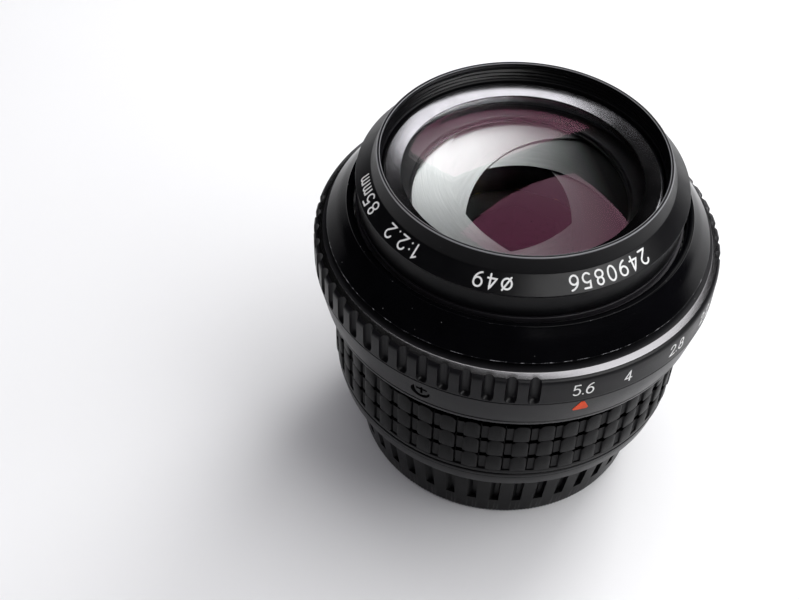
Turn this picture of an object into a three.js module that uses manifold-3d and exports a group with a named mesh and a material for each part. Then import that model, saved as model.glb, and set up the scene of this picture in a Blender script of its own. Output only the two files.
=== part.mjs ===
// An 85 mm prime lens of the manual-focus era, standing front up on its rear cap.
// Millimetres, +Z towards the front of the lens. The origin is the centre of the rear cap's
// underside, and the aperture index faces -Y.
// The lens is focused at infinity and stopped down to f/5.6.
import * as THREE from "three";
import { mergeVertices } from "three/addons/utils/BufferGeometryUtils.js";
import Module from "manifold-3d";

const wasm = await Module();
wasm.setup();

// ---- Driving dimensions ------------------------------------------------------------------

const GAP = 0.3; // clearance between pieces that touch or slide on the real lens
const OVERCUT = 1; // how far a cutter runs past the face that it opens

// Heights of the planes that everything else hangs on.
const Z = {
  capTop: 13.6, // rim of the rear cap
  flange: 13.9, // rear face of the bayonet's plate
  housingBottom: 15.8, // lower edge of the fixed ring at the rear
  housing: 19.4, // top of the fixed ring
  focusBottom: 19.7, // lower edge of the focus ring
  gripBottom: 20.9, // lower edge of the rubber grip
  gripTop: 33.6, // upper edge of the rubber grip
  focusTop: 34.2, // upper edge of the focus ring
  indexBottom: 36.7, // lower edge of the index band
  apertureBottom: 44.2, // underside of the aperture ring
  apertureTop: 50.4, // top of the aperture ring
  headTop: 50.6, // top of the sliding tube
  shoulderBottom: 50.9, // underside of the shoulder and of the iris's housing
  shoulderFoot: 51.8, // where the shoulder's slope begins
  shoulderTop: 56.6, // top of the shoulder
  filterBottom: 56.9, // underside of the filter ring
  bevelFoot: 61.8, // foot and top of the lettered bevel
  bevelTop: 64.2,
  rim: 66.9, // front rim of the filter ring
};

// Radii that set the look of the lens from outside.
const R = {
  capFoot: 27.05,
  capRim: 29.4,
  capBore: 26.0,
  housingSole: 31.3,
  housingFoot: 31.6,
  housingTop: 32.3,
  skirt: 32.3, // bare metal below the rubber
  gripBase: 31.95, // bottom of the grooves in the rubber
  grip: 32.55, // top of the rubber blocks
  indexBottom: 34.4,
  aperture: 36.0, // the aperture ring, and the index band just below it
  apertureShoulder: 35.31, // where the bright chamfer ends
  apertureChamfer: 34.44,
  shoulderFoot: 33.7,
  shoulderTop: 30.1,
  bevelFoot: 28.6,
  bevelTop: 25.9,
  rim: 25.0,
  thread: 24.4, // inside of the 49 mm filter thread, at its crests
};

// The tubes that slide in each other, from the inside out.
const GUIDE = { inner: 24.9, outer: 25.8, top: 36.2 };
const HEAD = { inner: 26.1, outer: 28.0, collar: 29.9, bottom: 15.7, collarBottom: 36.6 };
const HELICOID = { inner: 28.3, outer: 29.8, bottom: 21.3, top: 35.8 };
const SLEEVE = { inner: 30.1, outer: 31.1 };

// The bayonet: a throat 48 mm across with three lugs. The rear cap's lugs stand between them.
const BAYONET = { bore: 22.6, tube: 24.0, bottom: 8.7, plate: 1.2, plateRadius: 29.4 };
const LUGS = { at: [0, 120, 240], span: 52, root: 23.5, outer: 24.9, top: 10.1 };
const CAP_LUGS = { at: [60, 180, 300], span: 40, inner: 24.4, root: 26.2, bottom: 10.5, top: 11.9 };

// Repeats round the lens.
// The aperture ring has two runs of finger flutes, with a smooth part for the numbers between
// them and another on the far side.
const FLUTES = { starts: [-115.8, 64.2], pitch: 6, perRun: 18, radius: 1.0, bottom: 44.5 };
const GRIP = { columns: 47, fill: 0.67, blockEnd: -4.1 };
const CAP_SLOTS = { count: 42, width: 1.8, inner: 27.3, bottom: 5.0, first: 5.8 };
const CAP = { floor: 1.8, edge: 0.4, taper: 0.2 }; // its floor, its worn lower edge, its bore's draft

// Screws: five hold the bayonet's plate and three hold the index band.
const FLANGE_SCREW = { count: 5, circle: 27.0, first: 36, hole: 1.6, head: 1.3, inset: 0.1 };
const FLANGE_DRIVER = { length: 1.8, width: 0.4, depth: 0.8 };
const INDEX_SCREW = {
  count: 3,
  first: -44.5, // bearing of the one in front, from the index
  z: 41.0,
  seat: 33.8, // where the head rests in the band
  head: 1.5,
  height: 1.0,
  tip: 28.6,
  shank: 0.8,
  hole: 1.1,
};
const INDEX_DRIVER = { length: 1.9, width: 0.4, depth: 0.8 };

// The straight keys, and the slack of the keyways that they run in.
const KEY = { at: [0, 180], width: 4, root: 26.0, outer: 27.1, bottom: 31, top: 35 };
const KEYWAY = { side: 0.6, end: 0.5 };

// A matt ring inside the throat, with a flange that rests on the bayonet's plate.
const BAFFLE = {
  mouth: 19.6,
  outer: 22.3,
  seat: 24.6,
  throat: 21.0,
  bottom: 9.3,
  lip: 10.3,
  seatBottom: 16.7,
  seatTop: 17.5,
};

// The stop that the focus ring's foot meets at either end of its turn, and that foot.
const FOCUS_STOP = { bearing: 90, span: 14, inner: 28.5, outer: 29.6, bottom: 19.55, top: 20.95 };
const FOCUS_FOOT = { span: 92, clear: 1, inner: 28.6, outer: 29.7, bottom: 19.8 };

// The aperture ring's click stops, opposite the index.
const CLICK = {
  at: 180,
  distance: 32.3,
  bore: 1.0,
  seat: 40.2,
  ball: 0.8,
  clear: 0.12, // between the ball and the ring above it
  notch: 0.6,
  notchDepth: 0.4,
};
const SPRING = { radius: 0.6, wire: 0.12, pitch: 0.45, turns: 3.5, foot: 0.2, steps: 28 };

// The pin that the aperture ring turns the iris by, and the slack round it.
const DRIVE = { at: 150, z: 46.8, radius: 0.9, inner: 24.2, outer: 33, slot: 1.2, slack: 3 };
const DRIVE_HOLE = { radius: 1.1, inner: 29, outer: 33.4 };

// The bright chamfer on the aperture ring: its lower edge and its bend, below the ring's top.
const CHAMFER = { edge: 1.3, bend: 0.55 };

// The aperture: five leaves, each hinged at its head on the front plate and driven at its tail
// by a pin in a slot of the cam ring.
const STOPS = [0, 13, 30.5, 46]; // places of f/5.6, 4, 2.8 and 2.2, in degrees from the index
const IRIS = {
  leaves: 5,
  pivot: 25.0, // radius of the leaves' hinges
  first: 41.1, // bearing of the first hinge, from +X
  inner: 17.6, // radii of a leaf's two curved edges, fully open
  outer: 27.0,
  head: -5, // a leaf runs from this angle to the next, counted from its hinge
  tail: 145,
  pinAngle: 140,
  pinRadius: 24.5,
  pinBottom: 51.75,
  hingeTop: 55.2,
  hingeRoot: 0.15, // how deep a hinge is set in its leaf
  peg: 0.5, // radius of a hinge and of a tail pin
  turn: 22.6, // how far a leaf turns between f/2.2 and f/5.6
  top: 54.45,
  drop: 0.011, // each leaf sinks this much per degree, so that it passes under its neighbour
  thick: 0.2,
  steps: 18,
};
const IRIS_PLATE = { inner: 17.6, outer: 28.6, bottom: 54.7, top: 55.3, hinge: 0.7 };
const IRIS_BASE = { outer: 28.6, bore: 27.9, floor: 51.6, top: 54.4 };
const IRIS_WINDOW = { inner: 23.6, outer: 26.1, bottom: 50, top: 52, slack: 7 };
const CAM = { inner: 18.2, outer: 27.6, bottom: 51.9, top: 52.5 };
const CAM_SLOT = { inner: 20.8, outer: 25.3, width: 1.9, bottom: 51, top: 53, at: 185.5 };
const CAM_ARM = { inner: 24.0, outer: 25.7, bottom: 45.4, top: 52.1, half: 5 };
const CAM_FORK = { inner: 23, outer: 27, bottom: 45, top: 47.9, play: 0.5 };

// The front: the shoulder, the filter ring on it, the glass's seat and the ring that holds it.
const SHOULDER = { inner: 28.9, lip: 33.3, lipTop: 51.5 };
const FILTER = { inner: 24.2, tube: 28.2, tubeTop: 61.3, threadBottom: 63.4 };
const CELL = { bore: 18.0, wall: 23.9, bottom: 55.6, floor: 56.3, ledge: 56.5, top: 60.2 };
const RETAINER = {
  mouth: 20.75, // inner edge at the top, and its height
  mouthTop: 62.8,
  throat: 21.4, // inner edge at the bottom
  seat: 22.5,
  bottom: 60.5,
  wall: 23.9,
  wallBottom: 60.6,
  wallTop: 63.0,
  crest: 23.4,
  crestTop: 63.05,
};

// Front glass: a crown and a flint that share a curve.
const GLASS = { radius: 22.3, front: 64.3, frontCurve: 56, mid: 57.4, midCurve: 250, back: 55.9 };
const GLASS_RINGS = 3; // facets from a glass's axis to its edge

const OUTER = 48; // facets round the pieces that show
const INNER = 32; // facets round the pieces inside

// ---- Materials ---------------------------------------------------------------------------

const finish = (color, roughness, metalness) =>
  new THREE.MeshStandardMaterial({ color, roughness, metalness });

const blackAnodised = finish(0x17181a, 0.45, 0.6);
const glossBlack = finish(0x0b0b0c, 0.22, 0.3);
const mattBlack = finish(0x0d0d0e, 0.85, 0.0);
const rubber = finish(0x151517, 0.8, 0.0);
const capPlastic = finish(0x1b1b1d, 0.5, 0.0);
const steel = finish(0xb9babb, 0.3, 1.0);
const brass = finish(0xa98442, 0.38, 1.0);
const aluminium = finish(0x9c9da0, 0.4, 1.0);
const leafSteel = finish(0x3b3c40, 0.35, 0.9);
const blackScrew = finish(0x101011, 0.35, 0.8);
const crown = finish(0xdfe6ea, 0.02, 0.0);
const flint = finish(0xd9dfe6, 0.02, 0.0);

// ---- Small tools -------------------------------------------------------------------------

const radians = THREE.MathUtils.degToRad;
const fromIndex = (degrees) => radians(degrees - 90); // bearing of an angle from the index

// A geometry as a solid for joining and cutting.
function solid(geometry) {
  const bare = geometry.clone();
  bare.deleteAttribute("normal");
  bare.deleteAttribute("uv");
  const merged = mergeVertices(bare, 1e-4);
  const vertProperties = new Float32Array(merged.attributes.position.array);
  const triVerts = new Uint32Array(merged.index.array);
  return new wasm.Manifold(new wasm.Mesh({ numProp: 3, vertProperties, triVerts }));
}

// A joined or cut solid as a geometry again.
function geometryOf(body) {
  const mesh = body.getMesh();
  const geometry = new THREE.BufferGeometry();
  geometry.setAttribute("position", new THREE.BufferAttribute(mesh.vertProperties, 3));
  geometry.setIndex(new THREE.BufferAttribute(mesh.triVerts, 1));
  geometry.computeVertexNormals();
  return geometry;
}

const join = (first, ...rest) => rest.reduce((sum, each) => sum.add(each), first);
const cut = (first, ...rest) => rest.reduce((left, each) => left.subtract(each), first);

// A ring turned about Z from a closed outline of [radius, height] points.
function turned(outline, facets = INNER) {
  const points = [...outline, outline[0]].map(([r, z]) => new THREE.Vector2(r, z));
  return new THREE.LatheGeometry(points, facets).rotateX(Math.PI / 2);
}

// A disc or lens turned about Z from an outline that starts and ends on the axis.
function turnedSolid(outline, facets = INNER) {
  const points = outline.map(([r, z]) => new THREE.Vector2(r, z));
  return new THREE.LatheGeometry(points, facets).rotateX(Math.PI / 2);
}

// A plain tube between two radii and two heights.
const tube = (inner, outer, bottom, top, facets = INNER) =>
  turned([[inner, bottom], [outer, bottom], [outer, top], [inner, top]], facets);

// A block whose length lies along a radius, placed at a bearing.
function block(inner, outer, width, bottom, top, bearing) {
  return new THREE.BoxGeometry(outer - inner, width, top - bottom)
    .translate((inner + outer) / 2, 0, (bottom + top) / 2)
    .rotateZ(bearing);
}

// A peg with its axis along a radius, placed at a bearing.
function radialPeg(inner, outer, radius, height, bearing, facets = 8) {
  return new THREE.CylinderGeometry(radius, radius, outer - inner, facets)
    .rotateZ(-Math.PI / 2)
    .translate((inner + outer) / 2, 0, height)
    .rotateZ(bearing);
}

// A peg that stands parallel to the lens's axis.
function uprightPeg(distance, bearing, radius, bottom, top, facets = 8) {
  return new THREE.CylinderGeometry(radius, radius, top - bottom, facets)
    .rotateX(Math.PI / 2)
    .translate(distance, 0, (bottom + top) / 2)
    .rotateZ(bearing);
}

// A curved slab: part of a tube, between two bearings.
function sector(inner, outer, bottom, top, from, to, steps = 8) {
  const shape = new THREE.Shape();
  for (let i = 0; i <= steps; i++) {
    const a = from + ((to - from) * i) / steps;
    shape[i ? "lineTo" : "moveTo"](outer * Math.cos(a), outer * Math.sin(a));
  }
  for (let i = steps; i >= 0; i--) {
    const a = from + ((to - from) * i) / steps;
    shape.lineTo(inner * Math.cos(a), inner * Math.sin(a));
  }
  return new THREE.ExtrudeGeometry(shape, { depth: top - bottom, bevelEnabled: false })
    .translate(0, 0, bottom);
}

// Height of a spherical surface at a radius, given its vertex and its curvature radius, which is
// positive where the surface falls away from the vertex and negative where it rises.
function dome(vertex, curve, r) {
  const sagitta = Math.abs(curve) - Math.sqrt(curve * curve - r * r);
  return vertex - Math.sign(curve) * sagitta;
}

const lens = new THREE.Group();

function add(name, shape, material) {
  const geometry = shape.isBufferGeometry ? shape : geometryOf(shape);
  const mesh = new THREE.Mesh(geometry, material);
  mesh.name = name;
  lens.add(mesh);
  return mesh;
}

// ---- Fixed rear part ---------------------------------------------------------------------

const flangeTop = Z.flange + BAYONET.plate;
const flangeScrewBearing = (i) => radians(FLANGE_SCREW.first + (360 / FLANGE_SCREW.count) * i);

// A lug of the mount or of the cap, centred on an angle.
const lug = (inner, outer, bottom, top, at, span) =>
  solid(sector(inner, outer, bottom, top, radians(at - span / 2), radians(at + span / 2)));

function bayonetMount() {
  const ring = solid(
    turned([
      [BAYONET.bore, BAYONET.bottom],
      [BAYONET.tube, BAYONET.bottom],
      [BAYONET.tube, Z.flange],
      [BAYONET.plateRadius, Z.flange],
      [BAYONET.plateRadius, flangeTop],
      [BAYONET.bore, flangeTop],
    ]),
  );
  const lugs = LUGS.at.map((at) =>
    lug(LUGS.root, LUGS.outer, BAYONET.bottom, LUGS.top, at, LUGS.span),
  );
  const { count, circle, hole } = FLANGE_SCREW;
  const [below, above] = [Z.flange - OVERCUT, flangeTop + OVERCUT];
  const holes = Array.from({ length: count }, (_, i) =>
    solid(uprightPeg(circle, flangeScrewBearing(i), hole, below, above)),
  );
  return cut(join(ring, ...lugs), ...holes);
}

function flangeScrew(i) {
  const { circle, head, inset } = FLANGE_SCREW;
  const { length, width, depth } = FLANGE_DRIVER;
  const bearing = flangeScrewBearing(i);
  const body = solid(uprightPeg(circle, bearing, head, Z.flange + inset, flangeTop - inset));
  const driver = new THREE.BoxGeometry(length, width, depth)
    .translate(circle, 0, Z.flange)
    .rotateZ(bearing);
  return cut(body, solid(driver));
}

function mountHousing() {
  return turned(
    [
      [HELICOID.inner, flangeTop + GAP],
      [R.housingSole, flangeTop + GAP],
      [R.housingFoot, Z.housingBottom],
      [R.housingTop, Z.housing],
      [HELICOID.inner, Z.housing],
    ],
    OUTER,
  );
}

function guideTube() {
  return tube(GUIDE.inner, GUIDE.outer, flangeTop + GAP, GUIDE.top);
}

const straightKey = (at) =>
  block(KEY.root, KEY.outer, KEY.width, KEY.bottom, KEY.top, radians(at));

const rearBaffle = () =>
  turned([
    [BAFFLE.mouth, BAFFLE.lip],
    [BAFFLE.outer, BAFFLE.bottom],
    [BAFFLE.outer, BAFFLE.seatBottom],
    [BAFFLE.seat, BAFFLE.seatBottom],
    [BAFFLE.seat, BAFFLE.seatTop],
    [BAFFLE.throat, BAFFLE.seatTop],
  ]);

function focusStop() {
  const { bearing, span, inner, outer, bottom, top } = FOCUS_STOP;
  return sector(
    inner,
    outer,
    bottom,
    top,
    radians(bearing - span / 2),
    radians(bearing + span / 2),
    2,
  );
}

// ---- Focus ring --------------------------------------------------------------------------

function helicoidRing() {
  const ring = solid(tube(HELICOID.inner, HELICOID.outer, HELICOID.bottom, HELICOID.top));
  const { span, clear, inner, outer, bottom } = FOCUS_FOOT;
  const start = FOCUS_STOP.bearing + FOCUS_STOP.span / 2 + clear;
  const foot = sector(
    inner,
    outer,
    bottom,
    HELICOID.bottom + GAP,
    radians(start),
    radians(start + span),
    10,
  );
  return join(ring, solid(foot));
}

function focusSleeve() {
  return turned(
    [
      [SLEEVE.inner, Z.focusBottom],
      [R.skirt, Z.focusBottom],
      [R.skirt, Z.gripBottom - GAP],
      [SLEEVE.outer, Z.gripBottom - GAP],
      [SLEEVE.outer, Z.focusTop],
      [SLEEVE.inner, Z.focusTop],
    ],
    OUTER,
  );
}

// The rubber is a sleeve with columns of raised blocks round it.
function rubberGrip() {
  const inner = SLEEVE.outer + GAP;
  const pitch = (2 * Math.PI) / GRIP.columns;
  const outline = new THREE.Shape();
  for (let i = 0; i < GRIP.columns; i++) {
    const to = fromIndex(GRIP.blockEnd) + i * pitch;
    const from = to - GRIP.fill * pitch;
    outline[i ? "lineTo" : "moveTo"](R.gripBase * Math.cos(from), R.gripBase * Math.sin(from));
    outline.lineTo(R.grip * Math.cos(from), R.grip * Math.sin(from));
    outline.lineTo(R.grip * Math.cos(to), R.grip * Math.sin(to));
    outline.lineTo(R.gripBase * Math.cos(to), R.gripBase * Math.sin(to));
  }
  outline.holes.push(new THREE.Path().absarc(0, 0, inner, 0, 2 * Math.PI));
  const height = Z.gripTop - Z.gripBottom;
  return new THREE.ExtrudeGeometry(outline, {
    depth: height,
    bevelEnabled: false,
    curveSegments: OUTER,
  }).translate(0, 0, Z.gripBottom);
}

// ---- Sliding head ------------------------------------------------------------------------

const indexScrewBearing = (i) => fromIndex(INDEX_SCREW.first + (360 / INDEX_SCREW.count) * i);
const clickBearing = fromIndex(CLICK.at);
const driveBearing = fromIndex(DRIVE.at);
const stopTravel = Math.max(...STOPS); // how far the aperture ring turns

// The stretch that the drive pin sweeps, with some slack at both ends, between two heights.
const driveSweep = (inner, outer, bottom, top, slack) =>
  solid(
    sector(
      inner,
      outer,
      bottom,
      top,
      driveBearing - radians(stopTravel + slack),
      driveBearing + radians(slack),
    ),
  );

function headTube() {
  const body = solid(
    turned([
      [HEAD.inner, HEAD.bottom],
      [HEAD.outer, HEAD.bottom],
      [HEAD.outer, HEAD.collarBottom],
      [HEAD.collar, HEAD.collarBottom],
      [HEAD.collar, Z.headTop],
      [HEAD.inner, Z.headTop],
    ]),
  );
  const [inside, outside] = [HEAD.inner - OVERCUT, HEAD.collar + OVERCUT];
  const keyways = KEY.at.map((at) =>
    solid(
      block(
        inside,
        KEY.outer + GAP,
        KEY.width + KEYWAY.side,
        HEAD.bottom - OVERCUT,
        KEY.top + KEYWAY.end,
        radians(at),
      ),
    ),
  );
  const { count, hole, z } = INDEX_SCREW;
  const screwHoles = Array.from({ length: count }, (_, i) =>
    solid(radialPeg(inside, outside, hole, z, indexScrewBearing(i))),
  );
  const slot = driveSweep(inside, outside, DRIVE.z - DRIVE.slot, DRIVE.z + DRIVE.slot, DRIVE.slack);
  return cut(body, ...keyways, ...screwHoles, slot);
}

function indexBand() {
  const band = solid(
    turned(
      [
        [HEAD.collar + GAP, Z.indexBottom],
        [R.indexBottom, Z.indexBottom],
        [R.aperture, Z.apertureBottom - GAP],
        [HEAD.collar + GAP, Z.apertureBottom - GAP],
      ],
      OUTER,
    ),
  );
  const { count, seat, head, hole, z } = INDEX_SCREW;
  const holes = Array.from({ length: count }, (_, i) => [
    radialPeg(HEAD.collar - OVERCUT, seat, hole, z, indexScrewBearing(i)),
    radialPeg(seat - GAP, R.aperture + OVERCUT, head + GAP, z, indexScrewBearing(i), 12),
  ]);
  const { distance, bore } = CLICK;
  const clickBore = uprightPeg(distance, clickBearing, bore, CLICK.seat, Z.apertureBottom);
  return cut(band, ...holes.flat().map(solid), solid(clickBore));
}

function indexScrew(i) {
  const { seat, head, height, tip, shank, z } = INDEX_SCREW;
  const { length, width, depth } = INDEX_DRIVER;
  const bearing = indexScrewBearing(i);
  const cap = solid(radialPeg(seat, seat + height, head, z, bearing, 12));
  const stem = solid(radialPeg(tip, seat + height / 2, shank, z, bearing));
  const cross = [0, 1].map((turn) =>
    solid(
      new THREE.BoxGeometry(depth, length, width)
        .rotateX((turn * Math.PI) / 2)
        .translate(seat + height, 0, z)
        .rotateZ(bearing),
    ),
  );
  return cut(join(cap, stem), ...cross);
}

const clickBall = () =>
  new THREE.SphereGeometry(CLICK.ball, 10, 6)
    .translate(CLICK.distance, 0, Z.apertureBottom - CLICK.ball - CLICK.clear)
    .rotateZ(clickBearing);

class Helix extends THREE.Curve {
  constructor(radius, pitch, turns) {
    super();
    Object.assign(this, { radius, pitch, turns });
  }
  getPoint(t, target = new THREE.Vector3()) {
    const a = 2 * Math.PI * this.turns * t;
    const rise = this.pitch * this.turns * t;
    return target.set(this.radius * Math.cos(a), this.radius * Math.sin(a), rise);
  }
}

function clickSpring() {
  const { radius, pitch, turns, foot, steps } = SPRING;
  const wire = new THREE.Shape().absarc(0, 0, SPRING.wire, 0, 2 * Math.PI);
  const path = new Helix(radius, pitch, turns);
  const coil = { steps, curveSegments: 2, extrudePath: path, bevelEnabled: false };
  return new THREE.ExtrudeGeometry(wire, coil)
    .translate(CLICK.distance, 0, CLICK.seat + foot)
    .rotateZ(clickBearing);
}

const shoulderRing = () =>
  turned(
    [
      [SHOULDER.inner, Z.shoulderBottom],
      [SHOULDER.lip, Z.shoulderBottom],
      [SHOULDER.lip, SHOULDER.lipTop],
      [R.shoulderFoot, Z.shoulderFoot],
      [R.shoulderTop, Z.shoulderTop],
      [SHOULDER.inner, Z.shoulderTop],
    ],
    OUTER,
  );

const filterRing = () =>
  turned(
    [
      [FILTER.inner, Z.filterBottom],
      [FILTER.tube, Z.filterBottom],
      [FILTER.tube, FILTER.tubeTop],
      [R.bevelFoot, Z.bevelFoot],
      [R.bevelTop, Z.bevelTop],
      [R.rim, Z.rim],
      [R.thread, Z.rim],
      [R.thread, FILTER.threadBottom],
      [FILTER.inner, FILTER.threadBottom],
    ],
    OUTER,
  );

const frontRetainer = () =>
  turned([
    [RETAINER.mouth, RETAINER.mouthTop],
    [RETAINER.throat, RETAINER.bottom],
    [RETAINER.seat, RETAINER.bottom],
    [RETAINER.wall, RETAINER.wallBottom],
    [RETAINER.wall, RETAINER.wallTop],
    [RETAINER.crest, RETAINER.crestTop],
  ]);

const lensCell = () =>
  turned([
    [CELL.bore, CELL.bottom],
    [FILTER.tube, CELL.bottom],
    [FILTER.tube, CELL.ledge],
    [CELL.wall, CELL.ledge],
    [CELL.wall, CELL.top],
    [GLASS.radius + GAP, CELL.top],
    [GLASS.radius + GAP, CELL.floor],
    [CELL.bore, CELL.floor],
  ]);

// A glass blank between two curved faces.
function glass(vertexTop, curveTop, vertexBottom, curveBottom) {
  const face = (vertex, curve) =>
    Array.from({ length: GLASS_RINGS + 1 }, (_, i) => {
      const r = (GLASS.radius * i) / GLASS_RINGS;
      return [r, dome(vertex, curve, r)];
    });
  return turnedSolid([
    ...face(vertexBottom, curveBottom),
    ...face(vertexTop, curveTop).reverse(),
  ]);
}

const frontCrown = () => glass(GLASS.front, GLASS.frontCurve, GLASS.mid, -GLASS.midCurve);
const rearFlint = () => glass(GLASS.mid - GAP, -GLASS.midCurve, GLASS.back, -GLASS.midCurve);

// ---- Aperture ----------------------------------------------------------------------------

const leafBearing = (i) => radians(IRIS.first + (360 / IRIS.leaves) * i);

function irisFrontPlate() {
  const { inner, outer, bottom, top, hinge } = IRIS_PLATE;
  const hinges = Array.from({ length: IRIS.leaves }, (_, i) =>
    solid(uprightPeg(IRIS.pivot, leafBearing(i), hinge, bottom - OVERCUT, top + OVERCUT)),
  );
  return cut(solid(tube(inner, outer, bottom, top)), ...hinges);
}

function irisBase() {
  const { outer, bore, floor, top } = IRIS_BASE;
  const cup = solid(
    turned([
      [CAM.inner, Z.shoulderBottom],
      [outer, Z.shoulderBottom],
      [outer, top],
      [bore, top],
      [bore, floor],
      [CAM.inner, floor],
    ]),
  );
  const window = IRIS_WINDOW;
  return cut(
    cup,
    driveSweep(window.inner, window.outer, window.bottom, window.top, window.slack),
  );
}

// The slot in the cam ring that a leaf's tail pin runs in.
function leafSlot(i) {
  const { inner, outer, width, bottom, top, at } = CAM_SLOT;
  return solid(block(inner, outer, width, bottom, top, leafBearing(i) + radians(at)));
}

function camRing() {
  const ring = solid(tube(CAM.inner, CAM.outer, CAM.bottom, CAM.top));
  const slots = Array.from({ length: IRIS.leaves }, (_, i) => leafSlot(i));
  const arm = sector(
    CAM_ARM.inner,
    CAM_ARM.outer,
    CAM_ARM.bottom,
    CAM_ARM.top,
    driveBearing - radians(CAM_ARM.half),
    driveBearing + radians(CAM_ARM.half),
    4,
  );
  const { inner, outer, bottom, top, play } = CAM_FORK;
  const fork = block(inner, outer, 2 * DRIVE.radius + play, bottom, top, driveBearing);
  return join(cut(ring, ...slots), cut(solid(arm), solid(fork)));
}

// One leaf: a curved strip that sinks along its length, turned inwards about its hinge.
function irisLeaf(i) {
  const { head, tail, inner, outer, thick, steps, top, drop, peg } = IRIS;
  const strip = new THREE.BoxGeometry(1, 1, 1, steps, 1, 1);
  const at = strip.attributes.position;
  for (let v = 0; v < at.count; v++) {
    const angle = head + (at.getX(v) + 0.5) * (tail - head);
    const r = inner + (at.getY(v) + 0.5) * (outer - inner);
    const z = top - thick * (0.5 - at.getZ(v)) - drop * (angle - head);
    at.setXYZ(v, r * Math.cos(radians(angle)), r * Math.sin(radians(angle)), z);
  }
  // The strip is mapped from a box, and the mapping turns it inside out.
  for (let k = 0; k < strip.index.count; k += 3) {
    const a = strip.index.getX(k);
    strip.index.setX(k, strip.index.getX(k + 1));
    strip.index.setX(k + 1, a);
  }
  const sinkAt = (angle) => top - drop * (angle - head);
  const hingeFoot = sinkAt(0) - IRIS.hingeRoot;
  const hinge = uprightPeg(IRIS.pivot, 0, peg, hingeFoot, IRIS.hingeTop, 10);
  const pinTop = sinkAt(IRIS.pinAngle) - thick / 2;
  const pinAt = radians(IRIS.pinAngle);
  const pin = uprightPeg(IRIS.pinRadius, pinAt, peg, IRIS.pinBottom, pinTop, 10);
  return join(solid(strip), solid(hinge), solid(pin))
    .translate([-IRIS.pivot, 0, 0])
    .rotate([0, 0, IRIS.turn])
    .translate([IRIS.pivot, 0, 0])
    .rotate([0, 0, THREE.MathUtils.radToDeg(leafBearing(i))]);
}

// A ball-nosed cutter that stands upright and leaves one flute.
function fluteCutter(bearing) {
  const { radius, bottom } = FLUTES;
  const nose = turnedSolid(
    [
      [0, bottom],
      [0.7 * radius, bottom + 0.3 * radius], // a point of the ball, 45 degrees up its side
      [radius, bottom + radius],
      [radius, Z.apertureTop + OVERCUT],
      [0, Z.apertureTop + OVERCUT],
    ],
    8,
  );
  return solid(nose.translate(R.aperture, 0, 0).rotateZ(bearing));
}

function apertureRing() {
  const body = solid(
    turned(
      [
        [HEAD.collar + GAP, Z.apertureBottom],
        [R.aperture, Z.apertureBottom],
        [R.aperture, Z.apertureTop - CHAMFER.edge],
        [R.apertureShoulder, Z.apertureTop - CHAMFER.bend],
        [R.apertureChamfer, Z.apertureTop],
        [HEAD.collar + GAP, Z.apertureTop],
      ],
      OUTER,
    ),
  );
  const flutes = FLUTES.starts.flatMap((start) =>
    Array.from({ length: FLUTES.perRun }, (_, i) =>
      fluteCutter(fromIndex(start + FLUTES.pitch * i)),
    ),
  );
  const { distance, notch, notchDepth } = CLICK;
  const [below, notchTop] = [Z.apertureBottom - OVERCUT, Z.apertureBottom + notchDepth];
  const notches = STOPS.map((stop) =>
    solid(uprightPeg(distance, clickBearing + radians(stop), notch, below, notchTop)),
  );
  const { inner, outer, radius } = DRIVE_HOLE;
  const pinHole = solid(radialPeg(inner, outer, radius, DRIVE.z, driveBearing));
  return cut(body, ...flutes, ...notches, pinHole);
}

const drivePin = () => radialPeg(DRIVE.inner, DRIVE.outer, DRIVE.radius, DRIVE.z, driveBearing);

// ---- Rear cap ----------------------------------------------------------------------------

function rearCap() {
  const dish = solid(
    turnedSolid(
      [
        [0, 0],
        [R.capFoot - CAP.edge, 0],
        [R.capFoot, CAP.edge],
        [R.capRim, Z.capTop],
        [R.capBore, Z.capTop],
        [R.capBore - CAP.taper, CAP.floor],
        [0, CAP.floor],
      ],
      OUTER,
    ),
  );
  const lugs = CAP_LUGS.at.map((at) =>
    lug(CAP_LUGS.inner, CAP_LUGS.root, CAP_LUGS.bottom, CAP_LUGS.top, at, CAP_LUGS.span),
  );
  const slots = Array.from({ length: CAP_SLOTS.count }, (_, i) => {
    const bearing = fromIndex(CAP_SLOTS.first + (360 * i) / CAP_SLOTS.count);
    const { inner, width, bottom } = CAP_SLOTS;
    return solid(
      block(inner, R.capRim + OVERCUT, width, bottom, Z.capTop + OVERCUT, bearing),
    );
  });
  return cut(join(dish, ...lugs), ...slots);
}

// ---- Assembly ----------------------------------------------------------------------------

add("bayonet_mount", bayonetMount(), steel);
for (let i = 0; i < FLANGE_SCREW.count; i++) add(`flange_screw_${i + 1}`, flangeScrew(i), steel);
add("rear_baffle", rearBaffle(), mattBlack);
add("mount_housing", mountHousing(), blackAnodised);
add("guide_tube", guideTube(), brass);
KEY.at.forEach((at, i) => add(`straight_key_${i + 1}`, straightKey(at), steel));
add("focus_stop", focusStop(), steel);

add("helicoid_ring", helicoidRing(), brass);
add("focus_sleeve", focusSleeve(), blackAnodised);
add("rubber_grip", rubberGrip(), rubber);

add("head_tube", headTube(), aluminium);
add("index_band", indexBand(), blackAnodised);
for (let i = 0; i < INDEX_SCREW.count; i++) add(`index_screw_${i + 1}`, indexScrew(i), blackScrew);
add("click_ball", clickBall(), steel);
add("click_spring", clickSpring(), steel);
add("shoulder_ring", shoulderRing(), glossBlack);
add("filter_ring", filterRing(), blackAnodised);
add("front_retainer", frontRetainer(), blackAnodised);
add("lens_cell", lensCell(), mattBlack);
add("front_crown", frontCrown(), crown);
add("rear_flint", rearFlint(), flint);
add("iris_front_plate", irisFrontPlate(), mattBlack);
add("iris_base", irisBase(), mattBlack);

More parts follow.
